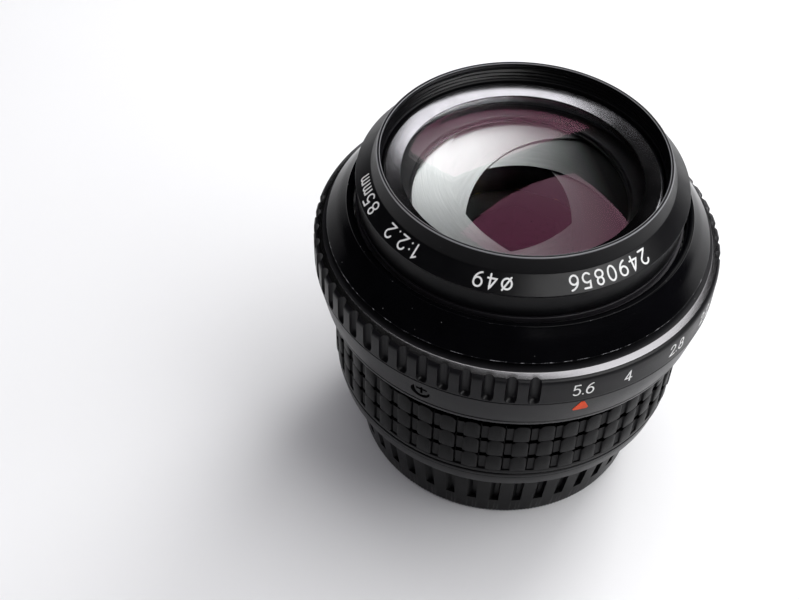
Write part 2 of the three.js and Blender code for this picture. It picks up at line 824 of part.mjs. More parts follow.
add("aperture_ring", apertureRing(), blackAnodised);
add("aperture_drive_pin", drivePin(), steel);
add("iris_cam_ring", camRing(), brass);
for (let i = 0; i < IRIS.leaves; i++) add(`iris_blade_${i + 1}`, irisLeaf(i), leafSteel);

add("rear_cap", rearCap(), capPlastic);

export default lens;
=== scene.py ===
# A manual-focus 85 mm prime lens, standing front up on its rear cap.
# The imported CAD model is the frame: each piece here takes its radii and heights from it.
# Lengths are millimetres until they reach a mesh. +Z is the front of the lens, and angles are
# counted from the aperture index, which faces -Y, with + towards +X.
import math
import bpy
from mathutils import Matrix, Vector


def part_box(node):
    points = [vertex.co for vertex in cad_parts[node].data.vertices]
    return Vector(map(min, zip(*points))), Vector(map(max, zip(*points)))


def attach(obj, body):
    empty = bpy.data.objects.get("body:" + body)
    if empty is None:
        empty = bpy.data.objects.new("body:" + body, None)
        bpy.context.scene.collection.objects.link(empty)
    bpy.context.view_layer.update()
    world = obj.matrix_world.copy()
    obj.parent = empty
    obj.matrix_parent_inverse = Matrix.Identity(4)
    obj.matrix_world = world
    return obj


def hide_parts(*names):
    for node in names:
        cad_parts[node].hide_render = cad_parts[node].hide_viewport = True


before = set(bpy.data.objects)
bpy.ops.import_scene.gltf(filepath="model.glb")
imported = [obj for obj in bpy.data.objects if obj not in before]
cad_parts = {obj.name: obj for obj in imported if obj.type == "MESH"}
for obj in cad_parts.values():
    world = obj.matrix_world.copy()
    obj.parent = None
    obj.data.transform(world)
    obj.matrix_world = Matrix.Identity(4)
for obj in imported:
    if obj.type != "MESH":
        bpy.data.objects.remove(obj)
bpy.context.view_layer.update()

from types import SimpleNamespace as Sizes

import bmesh
import bpy
from mathutils import Matrix, Vector

MM = 0.001
ROUND = 192  # columns round a turned piece
ARC_STEPS = 4  # pieces of the arc at a rounded corner
SMOOTH = 32  # edges turning by less than this many degrees are shaded smooth
WELD = 2e-7  # points closer than this, in metres, are one
OVERCUT = 1  # how far a cutter runs past the face that it opens


# ---- Sizes from the frame ----


class Extent:
    """Outer radius and lowest and highest point of a CAD node about the lens's axis."""

    def __init__(self, node):
        lo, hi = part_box(node)
        self.radius = max(hi.x, hi.y, -lo.x, -lo.y) / MM
        self.bottom = lo.z / MM
        self.top = hi.z / MM


RING = Extent("aperture_ring")
BAND = Extent("index_band")
GRIP = Extent("rubber_grip")
SLEEVE = Extent("focus_sleeve")
HOUSING = Extent("mount_housing")
CAP = Extent("rear_cap")
SHOULDER = Extent("shoulder_ring")
FRONT = Extent("filter_ring")
RETAINER = Extent("front_retainer")
CELL = Extent("lens_cell")
CROWN = Extent("front_crown")
FLINT = Extent("rear_flint")
MOUNT = Extent("bayonet_mount")
BAFFLE = Extent("rear_baffle")
HEAD = Extent("head_tube")
PLATE = Extent("iris_front_plate")

CLEARANCE = 0.3  # gap that the CAD leaves between neighbouring pieces
RING_BORE = 30.2  # inside of the aperture ring and the index band
HEAD_WALL = 28.0  # outside of the sliding tube below its collar
HEAD_BORE = 26.1
SLEEVE_BORE = 30.1  # inside of the focus ring
SLEEVE_WALL = 31.1  # outside of the sleeve under the rubber
HOUSING_BORE = 28.3
SHOULDER_BORE = 28.9


def from_index(degrees):
    """Bearing of an angle counted from the index, in radians."""
    return math.radians(degrees - 90)


# ---- Mesh tools ----


class Corner:
    """One corner of a turned outline: radius, height, size of its rounding, how worn it is, which
    also paints a lighter sheen as a painted highlight, and whether the face that starts here is
    bare metal or, on the grip, a recess painted near black as painted shade."""

    def __init__(self, r, z, round_off=0.06, wear=0.0, bare_metal_or_shade=0.0):
        self.r, self.z = r, z
        self.round_off, self.wear, self.bare_metal_or_shade = round_off, wear, bare_metal_or_shade


def rounded(corners):
    """The outline with each corner turned into a short arc."""
    out = []
    for i, corner in enumerate(corners):
        here = Vector((corner.r, corner.z))
        before = Vector((corners[i - 1].r, corners[i - 1].z)) - here
        after_corner = corners[(i + 1) % len(corners)]
        after = Vector((after_corner.r, after_corner.z)) - here
        size = corner.round_off
        if size <= 0 or corner.r < 1e-6 or before.length < 1e-6 or after.length < 1e-6:
            out.append(Corner(corner.r, corner.z, 0, corner.wear, corner.bare_metal_or_shade))
            continue
        size = min(size, 0.4 * before.length, 0.4 * after.length)
        start = here + before.normalized() * size
        end = here + after.normalized() * size
        for step in range(ARC_STEPS + 1):
            t = step / ARC_STEPS
            point = start * (1 - t) ** 2 + here * 2 * t * (1 - t) + end * t * t
            bare_metal_or_shade = corner.bare_metal_or_shade if step == ARC_STEPS else corners[i - 1].bare_metal_or_shade
            out.append(Corner(point.x, point.y, 0, corner.wear, bare_metal_or_shade))
    return out


def new_object(name, mesh, smooth_below=SMOOTH):
    mesh.validate()
    mesh.shade_smooth()
    mesh.set_sharp_from_angle(angle=math.radians(smooth_below))
    obj = bpy.data.objects.new(name, mesh)
    bpy.context.scene.collection.objects.link(obj)
    return obj


def paint(mesh, name, domain, values):
    """Stores one number for each vertex or face, for a material to read."""
    layer = mesh.attributes.new(name, "FLOAT", domain)
    layer.data.foreach_set("value", values)


def swept(name, bearings, outlines, closed=True, smooth_below=SMOOTH):
    """A body whose outline, a ring of Corners, may change from bearing to bearing."""
    verts, wear, faces, bare_metal_or_shade = [], [], [], []
    for bearing, outline in zip(bearings, outlines):
        c, s = math.cos(bearing), math.sin(bearing)
        for corner in outline:
            verts.append((corner.r * c * MM, corner.r * s * MM, corner.z * MM))
            wear.append(corner.wear)
    count, per = len(outlines), len(outlines[0])
    for i in range(count if closed else count - 1):
        k = (i + 1) % count
        for j in range(per):
            m = (j + 1) % per
            faces.append((i * per + j, k * per + j, k * per + m, i * per + m))
            bare_metal_or_shade.append(outlines[i][j].bare_metal_or_shade)
    if not closed:
        faces.append(tuple(reversed(range(per))))
        faces.append(tuple(range((count - 1) * per, count * per)))
        bare_metal_or_shade += [0.0, 0.0]
    mesh = bpy.data.meshes.new(name)
    mesh.from_pydata(verts, [], faces)
    paint(mesh, "wear", "POINT", wear)
    paint(mesh, "bare_metal_or_shade", "FACE", bare_metal_or_shade)
    weld(mesh)
    return new_object(name, mesh, smooth_below)


def weld(mesh):
    """Joins the points that coincide, drops flat faces and turns the rest outwards."""
    bm = bmesh.new()
    bm.from_mesh(mesh)
    bmesh.ops.remove_doubles(bm, verts=bm.verts, dist=WELD)
    bmesh.ops.dissolve_degenerate(bm, edges=bm.edges, dist=WELD)
    bmesh.ops.recalc_face_normals(bm, faces=bm.faces)
    bm.to_mesh(mesh)
    bm.free()


def all_round(columns=ROUND):
    """Evenly spaced bearings round the axis."""
    return [2 * math.pi * i / columns for i in range(columns)]


def turned(name, corners, columns=ROUND):
    """A body turned about the lens's axis from an outline of Corners."""
    return swept(name, all_round(columns), [rounded(corners)] * columns)


def plain(points, round_off=0.06):
    """Corners from (radius, height) pairs alone."""
    return [Corner(r, z, round_off) for r, z in points]


def bevelled_prism(outline, bottom, top, bevel=0):
    """A bmesh of a flat shape drawn up between two heights, with bevelled edges."""
    bm = bmesh.new()
    lower = [bm.verts.new((x * MM, y * MM, bottom * MM)) for x, y in outline]
    face = bm.faces.new(lower)
    lifted = bmesh.ops.extrude_face_region(bm, geom=[face])
    moved = [g for g in lifted["geom"] if isinstance(g, bmesh.types.BMVert)]
    bmesh.ops.translate(bm, verts=moved, vec=(0, 0, (top - bottom) * MM))
    bmesh.ops.recalc_face_normals(bm, faces=bm.faces)
    if bevel > 0:
        rims = [e for e in bm.edges if e.calc_face_angle(0) > math.radians(50)]
        bmesh.ops.bevel(bm, geom=rims, offset=bevel * MM, segments=2, affect="EDGES")
    return bm


def around(radius, angle):
    """The point at a distance and an angle, in radians, from the origin."""
    return radius * math.cos(angle), radius * math.sin(angle)


def cylinder(radius, sides, bottom, top, bevel=0):
    """A bmesh of a round bar between two heights."""
    outline = [around(radius, angle) for angle in all_round(sides)]
    return bevelled_prism(outline, bottom, top, bevel)


def cross_points(reach, width):
    """The outline of a cross-shaped screw slot."""
    a, b = reach / 2, width / 2
    corner = [(b, b), (a, b), (a, -b), (b, -b), (b, -a), (-b, -a), (-b, -b), (-a, -b), (-a, b)]
    return [(x, -y) for x, y in corner + [(-b, b), (-b, a), (b, a)]]


def box_points(width, depth):
    x, y = width / 2, depth / 2
    return [(-x, -y), (x, -y), (x, y), (-x, y)]


def absorb(bm, parts):
    """Moves the contents of other bmeshes into this one."""
    for part in parts:
        mesh = bpy.data.meshes.new("part")
        part.to_mesh(mesh)
        part.free()
        bm.from_mesh(mesh)
        bpy.data.meshes.remove(mesh)
    return bm


def drill(obj, cutters):
    """Cuts the cutters, which are bmeshes in the lens's own frame, out of an object."""
    bm = absorb(bmesh.new(), cutters)
    mesh = bpy.data.meshes.new("cutters")
    bm.to_mesh(mesh)
    bm.free()
    tool = bpy.data.objects.new("cutters", mesh)
    bpy.context.scene.collection.objects.link(tool)
    cut = obj.modifiers.new("cut", "BOOLEAN")
    cut.operation, cut.solver, cut.object = "DIFFERENCE", "EXACT", tool
    bpy.context.view_layer.update()
    result = bpy.data.meshes.new_from_object(
        obj.evaluated_get(bpy.context.evaluated_depsgraph_get())
    )
    obj.modifiers.clear()
    old, obj.data = obj.data, result
    result.name = old.name
    bpy.data.meshes.remove(old)
    bpy.data.objects.remove(tool)
    bpy.data.meshes.remove(mesh)
    result.shade_smooth()
    result.set_sharp_from_angle(angle=math.radians(SMOOTH))
    return obj


def upright(bm, radius, bearing):
    """Moves a bmesh out from the axis to a radius, and round to a bearing."""
    bm.transform(Matrix.Rotation(bearing, 4, "Z") @ Matrix.Translation((radius * MM, 0, 0)))
    return bm


def radial(bm, height, bearing):
    """Lays a bmesh that was drawn along +Z along the radius at a bearing and height."""
    lay = Matrix.Rotation(math.pi / 2, 4, "Y")
    lift = Matrix.Translation((0, 0, height * MM))
    bm.transform(Matrix.Rotation(bearing, 4, "Z") @ lift @ lay)
    return bm


def object_from(name, bm):
    mesh = bpy.data.meshes.new(name)
    bm.to_mesh(mesh)
    bm.free()
    return new_object(name, mesh)


# ---- Materials ----


class Finish:
    """A procedural material, built node by node."""

    def __init__(self, name, base, roughness, metallic=0.0, **inputs):
        self.material = bpy.data.materials.new(name)
        self.material.use_nodes = True
        self.tree = self.material.node_tree
        self.shader = self.tree.nodes["Principled BSDF"]
        self.base, self.roughness = (*base, 1), roughness
        self.set("Base Color", self.base)
        self.set("Roughness", roughness)
        self.set("Metallic", metallic)
        for key, value in inputs.items():
            self.set(key.replace("_", " "), value)
        self.height = None

    def feed(self, socket, value):
        """Joins another node's output to an input, or sets the input to a plain value."""
        if isinstance(value, bpy.types.NodeSocket):
            self.tree.links.new(value, socket)
        else:
            socket.default_value = value

    def set(self, key, value):
        self.feed(self.shader.inputs[key], value)

    def node(self, kind, inputs=(), **settings):
        made = self.tree.nodes.new(kind)
        for key, value in settings.items():
            setattr(made, key, value)
        for key, value in dict(inputs).items():
            self.feed(made.inputs[key], value)
        return made

    def place(self):
        """The point in the piece's own frame, in millimetres."""
        at = self.node("ShaderNodeTexCoord").outputs["Object"]
        scaled = self.node("ShaderNodeVectorMath", {0: at, "Scale": 1 / MM}, operation="SCALE")
        return scaled.outputs[0]

    def turned_place(self):
        """The point as (distance from the axis, height, a little of its bearing)."""
        at = self.place()
        split = self.node("ShaderNodeSeparateXYZ", {0: at})
        flat = self.node("ShaderNodeCombineXYZ", {0: split.outputs[0], 1: split.outputs[1]})
        away = self.node("ShaderNodeVectorMath", {0: flat.outputs[0]}, operation="LENGTH")
        turn = self.math("MULTIPLY", self.math("ARCTAN2", split.outputs[1], split.outputs[0]), 0.6)
        return self.node(
            "ShaderNodeCombineXYZ", {0: away.outputs["Value"], 1: split.outputs[2], 2: turn}
        ).outputs[0]

    def math(self, operation, a, b=0.0):
        return self.node("ShaderNodeMath", {0: a, 1: b}, operation=operation).outputs[0]

    def stored(self, name):
        return self.node("ShaderNodeAttribute", attribute_name=name).outputs["Fac"]

    def noise(self, scale, detail=3.0, roughness=0.55, at=None, stretch=None):
        at = at or self.place()
        if stretch:
            at = self.node("ShaderNodeVectorMath", {0: at, 1: stretch}, operation="MULTIPLY")
            at = at.outputs[0]
        made = self.node(
            "ShaderNodeTexNoise",
            {"Vector": at, "Scale": scale, "Detail": detail, "Roughness": roughness},
        )
        return made.outputs["Fac"]

    def band(self, value, low, high, out_low=0.0, out_high=1.0):
        """value, from low to high, mapped to a new range and clamped."""
        made = self.node(
            "ShaderNodeMapRange",
            {"Value": value, "From Min": low, "From Max": high, "To Min": out_low,
             "To Max": out_high},
        )
        return made.outputs["Result"]

    def mix(self, amount, a, b):
        """Two colours, or outputs that carry one, mixed by an amount from 0 to 1."""
        made = self.node("ShaderNodeMix", data_type="RGBA")
        used = [s for s in made.inputs if s.name == "Factor" and s.type == "VALUE"][:1]
        used += [s for s in made.inputs if s.type == "RGBA"]
        for socket, value in zip(used, (amount, a, b)):
            self.feed(socket, value)
        return next(s for s in made.outputs if s.type == "RGBA")

    def blend_in(self, amount, color=None, roughness=None, metallic=None):
        """Mixes a second colour, roughness or metallic value in, by a mask."""
        for key, value in (("Roughness", roughness), ("Metallic", metallic)):
            if value is None:
                continue
            socket = self.shader.inputs[key]
            now = socket.links[0].from_socket if socket.links else socket.default_value
            rest = self.math("MULTIPLY", now, self.math("SUBTRACT", 1.0, amount))
            self.set(key, self.math("ADD", rest, self.math("MULTIPLY", amount, value)))
        if color is not None:
            socket = self.shader.inputs["Base Color"]
            now = socket.links[0].from_socket if socket.links else self.base
            self.set("Base Color", self.mix(amount, now, (*color, 1)))

    def bump(self, height, depth):
        """Adds relief: height runs from 0 to 1, and depth is in millimetres."""
        inputs = {"Height": height, "Distance": depth * MM, "Strength": 1.0}
        if self.height:
            inputs["Normal"] = self.height
        self.height = self.node("ShaderNodeBump", inputs).outputs["Normal"]
        self.set("Normal", self.height)

    def grain(self, scale, detail, depth):
        """Adds the relief of a fine noise."""
        self.bump(self.noise(scale, detail), depth)

    def mottle(self, scale, spread):
        """Lets the colour and the roughness wander a little."""
        cloud = self.noise(scale, 4)
        dark = tuple(c * (1 - spread) for c in self.base[:3]) + (1,)
        light = tuple(min(1, c * (1 + spread)) for c in self.base[:3]) + (1,)
        self.set("Base Color", self.mix(self.band(cloud, 0.3, 0.7), dark, light))
        rough = self.band(cloud, 0.3, 0.7, self.roughness * 0.9, self.roughness * 1.1)
        self.set("Roughness", rough)

    def dust(self, amount, size, color=(0.55, 0.54, 0.52)):
        """Specks of pale dust on what faces up."""
        cell = self.node(
            "ShaderNodeTexVoronoi",
            {"Vector": self.place(), "Scale": 1 / size, "Randomness": 1.0},
        )
        speck = self.band(cell.outputs["Distance"], 0.0, 0.16, 1.0, 0.0)
        kept = self.band(cell.outputs["Color"], 1 - amount, 1 - amount + 0.02)
        normal = self.node("ShaderNodeNewGeometry").outputs["Normal"]
        up = self.node("ShaderNodeSeparateXYZ", {0: normal}).outputs[2]
        mask = self.math("MULTIPLY", speck, kept)
        mask = self.math("MULTIPLY", mask, self.band(up, 0.2, 0.5))
        self.blend_in(mask, color, roughness=0.9)

    def chips(self, color, scale, threshold):
        """Paint worn off where the mesh says that an edge is worn."""
        worn = self.stored("wear")
        patch = self.noise(scale, 5, 0.7)
        mask = self.band(self.math("ADD", patch, worn), threshold + 0.5, threshold + 0.62)
        mask = self.math("MULTIPLY", mask, self.band(worn, 0.02, 0.1))
        self.blend_in(mask, color, roughness=0.38, metallic=1.0)

    def lathe_marks(self, depth, scale):
        """Fine lines left by turning, round the axis."""
        marks = self.noise(scale, 3, 0.6, at=self.turned_place())
        self.bump(marks, depth)


def satin_black(name, base, roughness):
    """Black anodising on turned metal, worn at its edges, where a lighter grey is also painted on
    as a painted highlight.
    """
    made = Finish(name, base, roughness, Specular_IOR_Level=0.15)
    made.mottle(0.25, 0.12)
    made.lathe_marks(0.003, 7.0)
    made.grain(9.0, 2, 0.012)
    # painted highlight: edges marked as worn are painted a lighter, glossier grey, standing in for
    # the sheen along the lip and the other edges
    made.blend_in(made.stored("wear"), (0.45, 0.45, 0.47), roughness=0.25)
    made.chips((0.30, 0.30, 0.31), 1.3, 0.7)
    made.dust(0.08, 0.4)
    return made


def metal(name, base, roughness, lines):
    """Bare turned metal."""
    made = Finish(name, base, roughness, metallic=1.0)
    made.mottle(0.3, 0.1)
    made.lathe_marks(lines, 8.0)
    return made


anodised = satin_black("black_anodised", (0.0035, 0.0034, 0.0042), 0.33)
ring_black = satin_black("ring_grey_black", (0.006, 0.0057, 0.007), 0.34)
ring_black.blend_in(ring_black.stored("bare_metal_or_shade"), (0.24, 0.235, 0.245), roughness=0.26, metallic=1.0)

gloss = Finish("gloss_black", (0.002, 0.002, 0.0026), 0.13, Specular_IOR_Level=0.07)
gloss.mottle(0.15, 0.2)
gloss.grain(2.5, 2, 0.004)
gloss.chips((0.4, 0.4, 0.42), 0.9, 0.68)
gloss.dust(0.14, 0.8, (0.16, 0.16, 0.155))

matt = Finish("matt_black", (0.012, 0.012, 0.013), 0.7)
matt.mottle(0.3, 0.15)
matt.grain(7.0, 2, 0.02)

blasted = Finish("retainer_satin", (0.30, 0.295, 0.315), 0.18, metallic=1.0)
blasted.mottle(0.25, 0.1)
blasted.grain(9.0, 2, 0.006)

chamber = Finish("chamber_grey", (0.03, 0.028, 0.033), 0.4, metallic=0.3)
chamber.mottle(0.3, 0.15)
chamber.lathe_marks(0.01, 6.0)

rubber = Finish("grip_rubber", (0.0035, 0.0034, 0.004), 0.45, Specular_IOR_Level=0.12)
rubber.mottle(0.35, 0.25)
rubber.grain(5.0, 4, 0.03)
rubber.dust(0.12, 0.5)
# painted highlight: the grip's groove floors and the top edges of its blocks are painted a lighter
# grey
rubber.blend_in(rubber.stored("wear"), (0.012, 0.0118, 0.0125), roughness=0.6)
# painted shade: the grip's slits and the recesses under its arches are painted near black, with no
# reflection
rubber.blend_in(rubber.stored("bare_metal_or_shade"), (0.0006, 0.0006, 0.0006), roughness=1.0)
rubber.set("Specular IOR Level", rubber.band(rubber.stored("bare_metal_or_shade"), 0, 1, 0.12, 0.0))

plastic = Finish("cap_plastic", (0.0035, 0.0035, 0.004), 0.38, Specular_IOR_Level=0.08)
plastic.mottle(0.2, 0.12)
plastic.grain(6.0, 3, 0.012)
plastic.dust(0.12, 0.5)

steel = metal("mount_steel", (0.60, 0.60, 0.61), 0.28, 0.004)
BRASS = (0.62, 0.44, 0.17)
brass = metal("brass", BRASS, 0.34, 0.006)


def blackened_brass(name, low, high):
    """Brass with a blackened coat where the distance from the axis passes from low to high."""
    made = metal(name, BRASS, 0.34, 0.006)
    away = made.node("ShaderNodeSeparateXYZ", {0: made.turned_place()}).outputs[0]
    made.blend_in(made.band(away, low, high), (0.006, 0.006, 0.007), 0.5, 0.0)
    return made


helicoid_brass = blackened_brass("helicoid_brass", 28.36, 28.4)
tube_brass = blackened_brass("tube_brass", 25.78, 25.74)
aluminium = metal("bare_aluminium", (0.55, 0.55, 0.57), 0.36, 0.01)

screw_black = Finish("black_screw", (0.012, 0.012, 0.013), 0.3, metallic=0.6)
screw_black.mottle(1.0, 0.3)
screw_black.grain(8.0, 2, 0.01)

leaf = Finish("leaf_steel", (0.30, 0.30, 0.315), 0.30, metallic=1.0)
leaf_along = leaf.node("ShaderNodeAttribute", attribute_name="leaf_place").outputs["Vector"]
leaf_streak = leaf.noise(1.0, 4, 0.6, at=leaf_along, stretch=(6.0, 0.05, 1.0))
leaf.set(
    "Base Color",
    leaf.mix(leaf.band(leaf_streak, 0.35, 0.65), (0.62, 0.62, 0.635, 1), (0.76, 0.76, 0.775, 1)),
)
leaf.set("Roughness", leaf.band(leaf_streak, 0.3, 0.7, 0.40, 0.50))
# painted shade: the leaves are painted darker towards +X, standing in for the softbox's reflection
# fading across them
leaf_painted_shade_x = leaf.node("ShaderNodeSeparateXYZ", {0: leaf.place()}).outputs[0]
leaf.blend_in(leaf.band(leaf_painted_shade_x, -3.0, 15.0), (0.03, 0.03, 0.032))
leaf.bump(leaf_streak, 0.004)

coated = Finish(
    "coated_glass", (1.0, 0.985, 0.985), 0.0,
    Transmission_Weight=1.0, IOR=1.4, Specular_Tint=(0.78, 0.20, 0.42, 1),
)
coated_dust = coated.noise(1.6, 5, 0.7)
coated.set("Roughness", coated.band(coated_dust, 0.62, 0.8, 0.0, 0.05))

clear = Finish(
    "clear_glass", (1.0, 1.0, 1.0), 0.0,
    Transmission_Weight=1.0, IOR=1.4, Specular_Tint=(0.12, 0.05, 0.07, 1),
)
clear.set("Roughness", clear.band(clear.noise(1.2, 4), 0.6, 0.8, 0.0, 0.03))

white_paint = Finish("white_paint", (0.80, 0.80, 0.79), 0.5, Specular_IOR_Level=0.2)
white_paint.mottle(1.5, 0.06)
white_paint.grain(6.0, 2, 0.008)

orange_paint = Finish("orange_paint", (0.72, 0.062, 0.007), 0.45, Specular_IOR_Level=0.1)
orange_paint.mottle(0.8, 0.12)
orange_paint.grain(6.0, 2, 0.008)


def finish_piece(obj, finish, body, slot_name, *nodes):
    """Gives a piece its material and its body, and hides the CAD nodes that it stands for."""
    obj.data.materials.clear()
    obj.data.materials.append(finish.material)
    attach(obj, body)
    if nodes:
        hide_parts(*nodes)
    return obj


# ---- Front ring, with its filter thread ----

BEVEL_FOOT = (28.6, 61.8)  # the ring's lettered bevel, from its outer edge
BEVEL_TOP = (25.9, 64.2)  # to its inner edge
RIM_OUTER = 25.0
FRONT_BORE = 24.2
FRONT_WALL = 28.2
THREAD = Sizes(crest=24.42, root=24.72, pitch=0.75, bottom=63.4, top=66.3, step=0.09, fade=1 / 6)


def threaded_inside(outer):
    """Outlines of a ring with a helical thread inside it, one for each column. The thread
    fades in and out at its ends."""
    rows = int((THREAD.top - THREAD.bottom) / THREAD.step)
    outlines = []
    for i in range(ROUND):
        wall = []
        for k in range(rows + 1):
            z = THREAD.top - k * THREAD.step
            groove = abs(2 * ((z / THREAD.pitch - i / ROUND) % 1) - 1)
            share = min(1, k / rows / THREAD.fade, (1 - k / rows) / THREAD.fade)
            wall.append(Corner(THREAD.crest + (THREAD.root - THREAD.crest) * groove * share, z))
        outlines.append(outer + wall)
    return outlines


front_outer = rounded(
    [
        Corner(FRONT_BORE, THREAD.bottom - 0.12, 0),
        Corner(FRONT_BORE, FRONT.bottom, 0.1),
        Corner(FRONT_WALL, FRONT.bottom, 0.1),
        Corner(FRONT_WALL, BEVEL_FOOT[1] - 0.5, 0.1),
        Corner(*BEVEL_FOOT, 0.12),
        Corner(*BEVEL_TOP, 0.12),
        Corner(RIM_OUTER + 0.06, FRONT.top - 0.24, 0),
        # the wear marked on the lip and on the thread's crest also paints the rim's bright
        # highlight lines
        Corner(RIM_OUTER, FRONT.top, 0.1, wear=0.5),
        Corner(RIM_OUTER - 0.18, FRONT.top, 0),
        Corner(THREAD.crest + 0.18, FRONT.top, 0),
        Corner(THREAD.crest + 0.02, FRONT.top, 0.06, wear=0.5),
        Corner(THREAD.crest, FRONT.top - 0.16, 0),
    ]
)
front_ring = swept("front_ring", all_round(), threaded_inside(front_outer))
finish_piece(front_ring, anodised, "lens_head", "black_anodised", "filter_ring")

# Inside, the retainer widens towards the glass in two small steps.
LEDGES = [(20.75, 62.1), (21.0, 62.05), (21.02, 61.5), (21.35, 61.45)]
glass_retainer = turned(
    "glass_retainer",
    [
        Corner(20.75, 62.5, 0.05, wear=0.1),
        *plain(LEDGES, 0.03),
        *plain([(21.4, RETAINER.bottom), (22.5, RETAINER.bottom), (RETAINER.radius, 60.6)], 0.05),
        *plain([(RETAINER.radius, 63.0), (23.4, RETAINER.top)], 0.1),
    ],
)
finish_piece(glass_retainer, blasted, "lens_head", "black_anodised", "front_retainer")

CELL_BORE = 18.0
CELL_SEAT = 56.3  # where the glass rests
CELL_LEDGE = 56.5  # top of the flange that the cell is held by
cell = turned(
    "lens_barrel_cell",
    plain(
        [
            (CELL_BORE, CELL.bottom),
            (CELL.radius, CELL.bottom),
            (CELL.radius, CELL_LEDGE),
            (RETAINER.radius, CELL_LEDGE),
            (RETAINER.radius, CELL.top),
            (CROWN.radius + CLEARANCE, CELL.top),
            (CROWN.radius + CLEARANCE, CELL_SEAT),
            (CELL_BORE + 0.5, CELL_SEAT),
            (CELL_BORE, CELL_SEAT - 0.35),
        ]
    ),
)
finish_piece(cell, chamber, "lens_head", "matt_black", "lens_cell")


# ---- Glass ----

FRONT_CURVE = 56.0
MID_CURVE = -250.0
GLASS_RINGS = 26
GROUND_EDGE = 0.25  # small ground chamfer at the rim of a glass


def cap_height(vertex, curve, r):
    """Height of a spherical face: it falls away from its vertex if the curve is positive."""
    sagitta = abs(curve) - math.sqrt(curve * curve - r * r)
    return vertex - math.copysign(sagitta, curve)


def glass_blank(name, radius, upper, lower):
    """A lens element between two spherical faces, each given as (vertex, curve)."""
    radii = [radius * i / GLASS_RINGS for i in range(GLASS_RINGS + 1)]
    lower_side = [Corner(r, cap_height(*lower, r), 0) for r in radii]
    upper_side = [Corner(r, cap_height(*upper, r), 0) for r in reversed(radii)]
    lower_side[-1].z += GROUND_EDGE / 2
    upper_side[0].z -= GROUND_EDGE
    inner = radius - GROUND_EDGE
    upper_side.insert(1, Corner(inner, cap_height(*upper, inner), 0))
    outline = lower_side + upper_side
    return swept(name, all_round(), [outline] * ROUND, smooth_below=40)


upper, lower = (CROWN.top, FRONT_CURVE), (CROWN.bottom, MID_CURVE)
crown = glass_blank("crown_glass", CROWN.radius, upper, lower)
finish_piece(crown, coated, "lens_head", "coated_glass", "front_crown")

rise = cap_height(0, MID_CURVE, FLINT.radius)  # of the shared curve at the rim
upper, lower = (FLINT.top - rise, MID_CURVE), (FLINT.bottom, MID_CURVE)
flint = glass_blank("flint_glass", FLINT.radius, upper, lower)
finish_piece(flint, clear, "lens_head", "clear_glass", "rear_flint")


# ---- Iris ----

LEAF = Sizes(
    count=5,
    pivot=25.0,  # radius of the hinges
    first=41.1,  # bearing of the first hinge, from +X
    inner=17.6,
    outer=27.0,
    head=-5.0,  # a leaf runs from this angle to the next, counted from its hinge
    tail=145.0,
    pin_angle=140.0,
    pin_radius=24.5,
    pin_bottom=51.75,
    hinge_top=55.2,
    hinge_root=0.15,  # how deep a hinge is set in its leaf
    peg=0.5,  # radius of a hinge and of a tail pin
    hole=0.7,  # of a hinge's hole in the plate
    turn=22.6,  # how far it stands turned in, at f/5.6
    top=54.45,
    drop=0.011,  # how much it sinks for each degree, to pass under its neighbour
    thick=0.2,
    end=2.0,  # length over which it narrows at an end
    end_width=0.72,  # and its share of the full width there
    columns=120,
    rows=10,
)


def leaf_bearing(i):
    return math.radians(LEAF.first + 360 / LEAF.count * i)


def leaf_top(angle):
    """Height of a leaf's upper face at an angle from its hinge."""
    return LEAF.top - LEAF.drop * (angle - LEAF.head)


def leaf_reach(share):
    """Half the width of a leaf at a share of its length: both ends are rounded."""
    half = (LEAF.outer - LEAF.inner) / 2
    length = math.radians(LEAF.tail - LEAF.head) * (LEAF.inner + half)
    from_end = min(share, 1 - share) * length / LEAF.end
    if from_end >= 1:
        return half
    bulge = math.sqrt(1 - (1 - from_end) ** 2)
    return half * (LEAF.end_width + (1 - LEAF.end_width) * bulge)


def leaf_pin(radius, angle, bottom, top):
    bm = cylinder(LEAF.peg, 20, bottom, top, 0.06)
    x, y = around(radius, math.radians(angle))
    bmesh.ops.translate(bm, verts=bm.verts, vec=(x * MM, y * MM, 0))
    return bm


